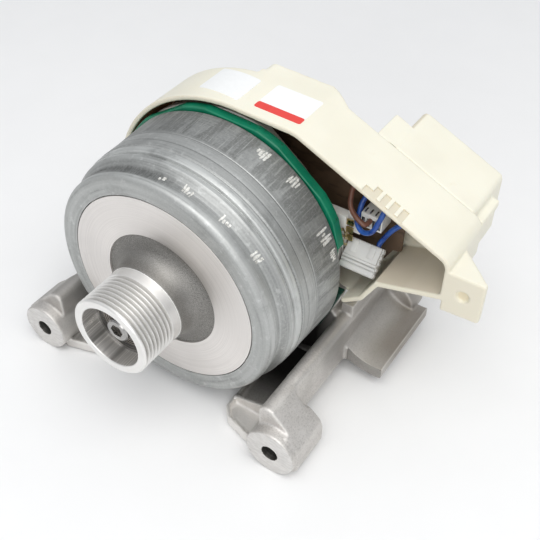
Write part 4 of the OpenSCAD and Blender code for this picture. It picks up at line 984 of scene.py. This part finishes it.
def rotor_hub():
    """Hub with pulley, neck and turned face."""
    obj = lathe("rotor_hub_turned", fillet(pulley_outline() + neck_outline() + hub_back_outline()))
    finish_piece(obj, "rotor", "machined_aluminium", TURNED, PULLEY, BLASTED, BORE, nodes=["rotor_hub"])
    pulley, blasted, bore = 1, 2, 3
    for face in obj.data.polygons:
        radius = math.hypot(face.center.x, face.center.z) / MM
        station = face.center.y / MM - FACE
        if radius < BORE_R + 0.1:
            face.material_index = bore
        elif station < NECK_FRONT - 0.02:
            face.material_index = pulley
        elif station < RECESS_D + 0.02 and radius < RECESS_R - 0.05:
            face.material_index = blasted


def can_radius(station):
    """Outer radius of the can at a station behind its front edge."""
    for (r0, s0, _), (r1, s1, _) in zip(CAN_OUTSIDE, CAN_OUTSIDE[1:]):
        if s0 <= station <= s1 and s1 > s0:
            return r0 + (r1 - r0) * (station - s0) / (s1 - s0)
    return CAN_R


def scrape(rng, middle, width, start, end, steps=6):
    """Rings of one ragged dash: angle of its middle, width as an angle, first and last station."""
    half = rng.uniform(0.32, 0.6) * width
    first = start + rng.uniform(0, 0.35) * (end - start)
    last = end - rng.uniform(0, 0.4) * (end - start)
    skew = rng.uniform(-0.3, 0.3) * half
    rings = []
    for k in range(steps + 1):
        share = k / steps
        station = first + (last - first) * share
        ragged = half * (0.6 + 0.4 * math.sin(math.pi * (0.1 + 0.8 * share))) * rng.uniform(0.6, 1.15)
        turn = middle + rng.uniform(-0.15, 0.15) * half + skew * (share - 0.5) * 2
        ring = []
        for side, lift in ((-1, SCRAPE_PROUD), (1, SCRAPE_PROUD), (1, -SUNK), (-1, -SUNK)):
            x, z = on_circle(can_radius(station) + lift, turn + side * ragged)
            ring.append(place(x, station, z))
        rings.append(ring)
    return rings


def scrapes():
    """Dashes where tools marked the plating, as thin plates that follow the can."""
    rng = random.Random(7)
    dashes = []
    for deg, start, end, width, count in SCRAPES:
        pitch = width / count / CAN_R
        for i in range(count):
            dashes.append(scrape(rng, math.radians(deg) + (i + 0.5 - count / 2) * pitch, pitch, start, end))
    finish_piece(loft("rotor_can_scrapes", *dashes), "rotor", "plated_steel", SCRAPED)


def rotor_can():
    """Pressed can round the magnets."""
    obj = lathe("rotor_can_pressed", fillet(CAN_OUTLINE, 12), 288)
    finish_piece(obj, "rotor", "plated_steel", PLATED, nodes=["rotor_can"])


rotor_hub()
rotor_can()
scrapes()


# Bracket

def ease(obj, place_x, place_y, place_z, rounds):
    """Smooths a symmetric pair of places on a casting, fading out at their borders."""
    group = obj.vertex_groups.new(name="ease")
    for vertex in obj.data.vertices:
        at = (abs(vertex.co.x) / MM, vertex.co.y / MM - FACE, vertex.co.z / MM)
        inside = min(min(v - low, high - v) for v, (low, high) in zip(at, (place_x, place_y, place_z)))
        if inside > 0:
            group.add([vertex.index], min(inside / ROUND_FADE, 1.0), "REPLACE")
    smooth_modifier(obj, rounds).vertex_group = "ease"
    apply_modifiers(obj)
    obj.vertex_groups.clear()


def mark_trough(obj):
    """Stores where the casting lies in the trough between its rails, under the rotor."""
    shares = []
    for vertex in obj.data.vertices:
        inward = (TROUGH_X - abs(vertex.co.x) / MM) / TROUGH_FADE
        below = (TROUGH_TOP - vertex.co.z / MM) / TROUGH_RISE
        shares.append(max(0.0, min(inward, below, 1.0)))
    store(obj, "trough", shares)


def face_and_drill(obj, side):
    """Mills the ends of one side's bosses and drills them."""
    x = side * BOSS_X
    boolean(obj, cylinder_tool(x, BOSS_Z, FACED_R, BOSS_FRONT - FACED_PAST, BOSS_FRONT + FACED))
    boolean(obj, cylinder_tool(x, BOSS_Z, FACED_R, RAIL_END - FACED, RAIL_END + FACED_PAST))
    boolean(obj, cylinder_tool(x, BOSS_Z, HOLE_R, BOSS_FRONT - CUT_PAST, BOSS_FRONT + HOLE_DEPTH))
    boolean(obj, cylinder_tool(x, BOSS_Z, HOLE_R, RAIL_END - REAR_HOLE_DEPTH, RAIL_END + CUT_PAST))


def bracket():
    """Die casting with rounded edges; its bosses were faced and drilled after casting."""
    obj = softened("bracket_casting", "bracket", voxel=0.6)
    x, station, z = GUSSET_FOOT_AT
    for side in (-1, 1):
        foot = rounded_block("gusset_foot", GUSSET_FOOT, GUSSET_FOOT_ROUND, moved(side * x, station, z))
        boolean(obj, foot, "UNION")
    for spot in ROUND_PLACES:
        ease(obj, *spot)
    for side in (-1, 1):
        inner = side * WING_CUT_IN
        outer = side * WING_CUT_OUT
        wing = [(inner, WING_CUT_LOW), (inner, WING_CUT_TOP), (outer, WING_CUT_TOP), (outer, WING_CUT_LOW)]
        boolean(obj, prism("cutter", wing, WING_FRONT - CUT_PAST, WING_FRONT + WING_CUT))
    mark_edges(obj)
    mark_trough(obj)
    finish_piece(obj, "frame", "cast_aluminium", CAST, MILLED, DRILLED, nodes=["bracket"])
    for side in (-1, 1):
        face_and_drill(obj, side)
    milled, drilled = 1, 2
    for face in obj.data.polygons:
        station = face.center.y / MM - FACE
        off_axis = math.hypot(abs(face.center.x) / MM - BOSS_X, face.center.z / MM - BOSS_Z)
        in_front = station < BOSS_FRONT + HOLE_DEPTH + 0.1
        at_rear = station > RAIL_END - REAR_HOLE_DEPTH - 0.1
        if station < BOSS_FRONT + FACED + 0.05 or station > RAIL_END - FACED - 0.05:
            face.material_index = milled
        elif off_axis < HOLE_R + 0.05 and (in_front or at_rear):
            face.material_index = drilled
    shade(obj, 45)


bracket()


# Cover and connector box

def slope_z(x):
    """Height of the cover's sloping side."""
    return (SLOPE_OUT - x * math.sin(HOOD_SLOPE)) / math.cos(HOOD_SLOPE)


def comb_tool():
    """The comb of pockets in the cover's sloping side, as one cutter."""
    wide, deep = COMB_FINGER
    heel = wide - COMB_HEEL[0]
    last = (COMB_FINGERS - 1) * COMB_PITCH + wide
    outline = [(heel, -COMB_PAST), (last, -COMB_PAST), (last, deep)]
    for i in range(COMB_FINGERS - 1, 0, -1):
        finger = i * COMB_PITCH
        gap = finger - COMB_PITCH + wide
        outline += [(finger, deep), (finger, COMB_STRIP), (gap, COMB_STRIP), (gap, deep)]
    outline += [(0, deep), (0, COMB_HEEL[1]), (heel, COMB_HEEL[1])]
    rings = []
    for lift in (-COMB_SINK, COMB_OVER):
        x = COMB_X + lift * math.sin(HOOD_SLOPE)
        z = slope_z(COMB_X) + lift * math.cos(HOOD_SLOPE)
        rings.append([place(x + along * math.cos(HOOD_SLOPE), COVER_FRONT + back,
                            z - along * math.sin(HOOD_SLOPE)) for along, back in outline])
    return loft("cutter", rings)


def cover():
    """Moulded cover with rounded edges and a crisp comb of pockets."""
    obj = softened("cover_moulding", "cover", voxel=0.5)
    boolean(obj, comb_tool())
    shade(obj, 45)
    finish_piece(obj, "frame", "cream_plastic", CREAM, nodes=["cover"])


def connector_box():
    """Moulded box behind the cover; its latch runs into the box without a groove."""
    obj = softened("connector_box_moulding", "connector_box", voxel=0.6)
    side = drawing_box("connector_box")[0].x + LATCH_W
    left, right = [side + reach for reach in LATCH_ROOT]
    corners = ((left, LATCH_SINK), (right, LATCH_SINK), (right, LATCH_DEEP), (left, LATCH_DEEP))
    outline = [(x, slope_z(x) - drop) for x, drop in corners]
    front = BOX_FRONT + LATCH_GAPS[0]
    back = BOX_FRONT + LATCH_L - LATCH_GAPS[1]
    boolean(obj, prism("latch_root", outline, front, back), "UNION")
    shade(obj, 60)
    finish_piece(obj, "frame", "cream_plastic", CREAM, nodes=["connector_box"])


def on_hood(along, lift):
    """A point on the cover's outside: along runs right from where the round side becomes the flat top."""
    if along < 0:
        return on_circle(HOOD_R + lift, math.pi / 2 - HOOD_FALL - along / HOOD_R)
    bend = HOOD_SLOPE - HOOD_FALL
    start = HOOD_FLAT - HOOD_TURN * math.tan(bend / 2)
    turn = min(max(along - start, 0) / HOOD_TURN, bend)
    beyond = max(along - start - HOOD_TURN * turn, 0)
    x = min(along, start) + (HOOD_TURN + lift) * math.sin(turn) + beyond * math.cos(turn)
    z = HOOD_R - HOOD_TURN + (HOOD_TURN + lift) * math.cos(turn) - beyond * math.sin(turn)
    right = x * math.cos(HOOD_FALL) + z * math.sin(HOOD_FALL)
    return right, z * math.cos(HOOD_FALL) - x * math.sin(HOOD_FALL)


def label(name, corner, size, skew, material, columns=48):
    """A blank label that lies on the cover: its first corner, size and skew."""
    rings = []
    for i in range(columns + 1):
        share = 0.5 - 0.5 * math.cos(math.pi * i / columns)
        inner = max(LABEL_ROUND - size[0] * min(share, 1 - share), 0)
        inset = LABEL_ROUND - math.sqrt(max(LABEL_ROUND ** 2 - inner ** 2, 0.0004))
        front = corner[1] + skew * share + inset
        back = corner[1] + skew * share + size[1] - inset
        ring = []
        for lift, edges in ((LABEL_LIFT, (front, back)), (-SUNK, (back, front))):
            x, z = on_hood(corner[0] + size[0] * share, lift)
            ring += [place(x, station, z) for station in edges]
        rings.append(ring)
    finish_piece(loft(name, rings), "frame", "white_plastic", material)


cover()
connector_box()
label("label_round_side", (-26.5, 65.0), (25.2, 20.2), -4.2, LABEL)
label("label_flat_side", (6.8, 66.8), (24.4, 16.2), 0.3, LABEL)
label("label_strip", (6.8, 62.0), (24.4, 4.8), 0.3, STRIP)


# Leads, in the same points as the solids

BOARD_Y = 78
HEADER_Y = 68
SOCKET_FRONT = 86.6
LEAD_R = 1.25
BROWN_ROUTE = [(60, BOARD_Y, 42), (60, BOARD_Y - 3, 42), (59, BOARD_Y - 6, 40), (60, BOARD_Y - 10, 35),
               (62, BOARD_Y - 12, 32), (66, BOARD_Y - 14, 30), (70, BOARD_Y - 14, 28), (71, HEADER_Y - 2, 28),
               (71, HEADER_Y, 28)]
BLUE_ROUTE = [(66, BOARD_Y, 38), (66, BOARD_Y - 3, 38), (64.5, BOARD_Y - 6, 34), (64.5, BOARD_Y - 9, 29),
              (65.5, BOARD_Y - 12, 25.5), (69, BOARD_Y - 14, 23.5), (73, BOARD_Y - 15, 25),
              (76, BOARD_Y - 16, 29), (78, BOARD_Y - 15, 35), (79, BOARD_Y - 12, 40), (80, BOARD_Y - 8, 43),
              (80, BOARD_Y - 3, 43), (80, BOARD_Y, 43)]
PLUG_ROUTE = [(76, 69.2, 13.4), (76, 70.5, 14.7), (77, 71.5, 17), (79, 71.5, 21), (82, 71, 26), (85, 72, 29),
              (87, 76, 28), (87, 80, 24), (87, SOCKET_FRONT - 3, 22), (87, SOCKET_FRONT, 22)]


def lead(node, route, material, slot):
    """A smooth insulated lead."""
    finish_piece(tube(node + "_insulation", route, LEAD_R), "frame", slot, material, nodes=[node])


lead("brown_lead", BROWN_ROUTE, BROWN, "brown_insulation")
lead("blue_lead", BLUE_ROUTE, BLUE, "blue_insulation")
lead("plug_lead", PLUG_ROUTE, BLUE, "blue_insulation")


# Plug, header and terminals

PLUG_AT = (70.5, 63.9, 8.1)
PLUG_TILT = math.radians(45)
# Blocks of the plug: size across, along and through, then place in the plug's own axes, then rounding
PLUG_BLOCKS = [
    ((18.0, 15.0, 3.9), (0, 0, -0.8), 0.35), ((17.2, 8.4, 1.7), (0, 3.1, 1.9), 0.3),
    ((17.8, 1.3, 1.25), (0, -1.75, 1.65), 0.25), ((17.8, 1.3, 0.95), (0, -3.55, 1.5), 0.25),
    ((17.8, 2.3, 0.7), (0, -5.9, 1.35), 0.25), ((3.2, 6.0, 0.8), (-4.6, 3.6, 2.75), 0.2),
    ((3.2, 6.0, 0.8), (4.6, 3.6, 2.75), 0.2)]
# Teeth on each side of the plug: number, size, places in the plug's own axes, rounding
PLUG_TEETH = 5
TOOTH = (0.8, 1.5, 3.2)
TOOTH_ACROSS = 9.0
TOOTH_REACH = 6.0
TOOTH_DROP = 0.7
TOOTH_ROUND = 0.2
# Slots in the plug's end: size, place and rounding, as for the blocks
PLUG_SLOTS = [((1.6, 0.3, 0.9), (across, -7.45, -0.6), 0.1) for across in (-5.2, -0.4, 4.4)]
# Header: number of ways, then size and rounding of each way's opening, contact and blade
HEADER_WAYS = 4
OPENING = ((1.5, 0.2, 4.4), 0.08)
CONTACT = ((0.8, 3.4, 0.35), 0.1)
BLADE = ((0.5, 0.5, 3.2), 0.1)
# Clips: number, pitch, height of the lowest over the terminal block's underside, strip's height and
# thickness, lean, and how far the lean's phase moves on from clip to clip
CLIPS = 3
CLIP_PITCH = 3.6
CLIP_LOW = 10.0
CLIP_STRIP = (1.5, 0.3)
CLIP_LEAN = 0.5
CLIP_PHASE = 2.1
# Bends of a clip from the block's right front edge: across, along, up, and its lean's share across and up
CLIP_BENDS = [(-3.2, -0.3, 0, 0, 0), (-1.6, -1.3, 0.3, 0, 0), (-0.2, -0.5, 0.5, 1, 0), (0.9, -1.4, 0, 0, 1),
              (1.9, -0.4, -0.3, 0, 0)]
# Walls of the terminal shield: low and high corner, counted across from the block's right side
SHIELD_WALLS = [((-1.0, 67.6, 17.5), (5.5, 68.8, 24.0)), ((-1.0, 66.9, 17.5), (2.1, 68.1, 30.0))]
SHIELD_ROUND = 0.3


def plug_blocks(name, blocks):
    """Rounded blocks in the plug's own axes, as one object."""
    turn = moved(*PLUG_AT) @ Matrix.Rotation(PLUG_TILT, 4, "X")
    parts = []
    for size, at, radius in blocks:
        parts.append(rounded_block("plug_block", size, radius, turn @ Matrix.Translation(Vector(at) * MM)))
    return join(name, parts)


def plug():
    """Layered plug with a toothed end and small slots."""
    blocks = list(PLUG_BLOCKS)
    for i in range(PLUG_TEETH):
        along = TOOTH_REACH * (2 * i / (PLUG_TEETH - 1) - 1)
        blocks += [(TOOTH, (side * TOOTH_ACROSS, along, -TOOTH_DROP), TOOTH_ROUND) for side in (-1, 1)]
    finish_piece(plug_blocks("plug_layers", blocks), "frame", "white_plastic", PLUG, nodes=["plug_housing"])
    finish_piece(plug_blocks("plug_slots", PLUG_SLOTS), "frame", "black_plastic", BLACK)


def header_detail():
    """Contact openings and contacts on the header's front and top."""
    low, high = drawing_box("board_header")
    middle = (low.z + high.z) / 2 - 0.6
    dark = []
    bright = []
    for i in range(HEADER_WAYS):
        x = low.x + (i + 0.5) * (high.x - low.x) / HEADER_WAYS
        dark.append(rounded_block("opening", *OPENING, moved(x, low.y - 0.02, middle)))
        bright.append(rounded_block("contact", *CONTACT, moved(x, low.y + 2.6, high.z + 0.12)))
        bright.append(rounded_block("blade", *BLADE, moved(x + 0.3, low.y - 0.1, middle)))
    finish_piece(join("header_openings", dark), "frame", "black_plastic", BLACK)
    finish_piece(join("header_contacts", bright), "frame", "terminal_brass", BEARING)


def terminal_clips():
    """Bent brass clips over the stator's terminals."""
    low, high = drawing_box("terminal_block")
    parts = []
    for i in range(CLIPS):
        z = low.z + CLIP_LOW + CLIP_PITCH * i
        lean = CLIP_LEAN * math.sin(CLIP_PHASE * i)
        path = [(high.x + across + lean * lean_across, low.y + along, z + up + lean * lean_up)
                for across, along, up, lean_across, lean_up in CLIP_BENDS]
        parts.append(bent_strip("clip", path, *CLIP_STRIP))
    finish_piece(join("terminal_clips", parts), "frame", "terminal_brass", TARNISHED)


def terminal_shield():
    """Thin stepped wall of the terminal block that stands behind the plug."""
    side = drawing_box("terminal_block")[1].x
    parts = []
    for low, high in SHIELD_WALLS:
        size = [b - a for a, b in zip(low, high)]
        x, station, z = [(a + b) / 2 for a, b in zip(low, high)]
        parts.append(rounded_block("shield_wall", size, SHIELD_ROUND, moved(side + x, station, z)))
    finish_piece(join("terminal_shield", parts), "frame", "white_plastic", WHITE)


plug()
header_detail()
terminal_clips()
terminal_shield()


# Solids that keep their shape get finished materials

FINISHES = {
    "magnets": FERRITE, "front_bearing_outer_ring": BEARING, "rear_bearing_outer_ring": BEARING,
    "front_bearing_seals": SEAL, "rear_bearing_seals": SEAL, "hub_snap_ring": SPRING,
    "front_ball_cage": BRASS, "rear_ball_cage": BRASS, "front_balls": BEARING, "rear_balls": BEARING,
    "axle": AXLE, "axle_snap_ring": SPRING, "front_bearing_inner_ring": BEARING,
    "rear_bearing_inner_ring": BEARING, "bearing_spacer": BEARING, "axle_washer": BEARING, "axle_nut": SPRING,
    "stator_core": CORE, "stator_front_insulator": GREEN, "stator_carrier": GREEN, "stator_coils": COPPER,
    "stator_bolts": SPRING, "sensor_board": BOARD, "cover_screws": SPRING, "control_board": BOARD,
    "capacitors": SLEEVE, "power_module": BLACK, "heat_sink": PULLEY, "filter_choke": BROWN,
    "board_header": WHITE, "appliance_header": WHITE, "appliance_pins": BRASS, "terminal_block": WHITE,
    "stator_terminals": BRASS}
# Rounding of edges that show
SOFT_EDGES = {"stator_carrier": 0.8, "board_header": 0.3, "terminal_block": 0.4,
              "axle_nut": 0.4, "heat_sink": 0.2, "appliance_header": 0.3, "capacitors": 0.6}


def soften_edges(obj, width):
    """Rounds the edges of a solid without touching its mesh."""
    weld = obj.modifiers.new("weld", "WELD")
    weld.merge_threshold = 1e-6
    bevel = obj.modifiers.new("bevel", "BEVEL")
    bevel.width = width * MM
    bevel.segments = 3
    bevel.limit_method = "ANGLE"
    bevel.angle_limit = math.radians(35)
    bevel.harden_normals = True


def finish_solids():
    """Materials on the solids, with a small rounding on the edges that show."""
    for node, material in FINISHES.items():
        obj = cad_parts[node]
        for slot in obj.material_slots:
            slot.material = material
        if not obj.material_slots:
            obj.data.materials.append(material)
        if node in SOFT_EDGES:
            soften_edges(obj, SOFT_EDGES[node])


finish_solids()


# Floor, light and camera, in metres

FLOOR_HALF = 40.0
CAMERA_AT = (0.1972, -0.1817, 0.2783)
CAMERA_AZIMUTH = math.radians(33.331)
CAMERA_ELEVATION = math.radians(43.247)
CAMERA_ROLL = math.radians(0.312)
LENS = 56.667
SENSOR = 36
# Lights: name, place, aim, width and height, power in watts, colour
LIGHTS = [
    ("above", (0.38, -0.3, 1.2), (0.03, 0.03, 0), (1.3, 1.1), 10.6, (1.0, 0.99, 0.97)),
    ("left", (-1.1, -0.5, 0.6), (0, 0.05, 0), (0.5, 0.9), 0.5, (1, 1, 1)),
    ("front", (0.45, -1.1, 0.45), (0.03, 0.0, -0.02), (0.8, 0.5), 3.6, (1, 1, 1))]
# Surround: colour at the horizon, colour high up and the height where it is reached, strength
SKY_LOW = (0.3, 0.305, 0.315, 1)
SKY_HIGH = (0.93, 0.95, 0.98, 1)
SKY_TOP = 0.8
SKY_STRENGTH = 0.77


def camera():
    """The camera at the photograph's viewing angle."""
    level = math.cos(CAMERA_ELEVATION)
    right = Vector((math.cos(CAMERA_AZIMUTH), math.sin(CAMERA_AZIMUTH), 0))
    back = Vector((right.y * level, -right.x * level, math.sin(CAMERA_ELEVATION)))
    up = back.cross(right)
    across = right * math.cos(CAMERA_ROLL) + up * math.sin(CAMERA_ROLL)
    upright = up * math.cos(CAMERA_ROLL) - right * math.sin(CAMERA_ROLL)
    data = bpy.data.cameras.new("camera")
    data.lens = LENS
    data.sensor_width = SENSOR
    data.clip_start = 0.01
    obj = add_object("camera", data)
    turn = Matrix((across, upright, back)).transposed().to_4x4()
    obj.matrix_world = Matrix.Translation(CAMERA_AT) @ turn
    bpy.context.scene.camera = obj


def floor():
    """A plain pale floor."""
    signs = ((-1, -1), (1, -1), (1, 1), (-1, 1))
    corners = [(x * FLOOR_HALF, y * FLOOR_HALF, cad_box[0][2]) for x, y in signs]
    obj = mesh_object("floor", corners, [(0, 1, 2, 3)])
    paint = Paint("floor_paper", Specular_IOR_Level=0.2)
    fibre = paint.noise(40.0, 4.0)
    paint.base(fibre, (0.86, 0.86, 0.86), (0.88, 0.88, 0.88))
    obj.data.materials.append(paint.finish((fibre, 0.3, 0.7, 0.55, 0.65)))


def area_light(name, at, aim, size, power, colour):
    """A soft rectangular light."""
    data = bpy.data.lights.new(name, "AREA")
    data.shape = "RECTANGLE"
    data.size, data.size_y = size
    data.energy = power
    data.color = colour
    obj = add_object(name, data)
    obj.location = at
    obj.rotation_euler = (Vector(aim) - Vector(at)).to_track_quat("-Z", "Y").to_euler()


def surround():
    """A bright surround that darkens to the horizon."""
    world = bpy.data.worlds.new("studio")
    bpy.context.scene.world = world
    world.use_nodes = True
    nodes = world.node_tree.nodes
    links = world.node_tree.links
    height = nodes.new("ShaderNodeSeparateXYZ")
    links.new(nodes.new("ShaderNodeTexCoord").outputs["Generated"], height.inputs[0])
    ramp = nodes.new("ShaderNodeValToRGB")
    low, high = ramp.color_ramp.elements
    low.position = 0.0
    low.color = SKY_LOW
    high.position = SKY_TOP
    high.color = SKY_HIGH
    links.new(height.outputs[2], ramp.inputs[0])
    background = nodes["Background"]
    links.new(ramp.outputs[0], background.inputs[0])
    background.inputs[1].default_value = SKY_STRENGTH


camera()
floor()
for spec in LIGHTS:
    area_light(*spec)
surround()
bpy.context.scene.view_settings.view_transform = "Standard"
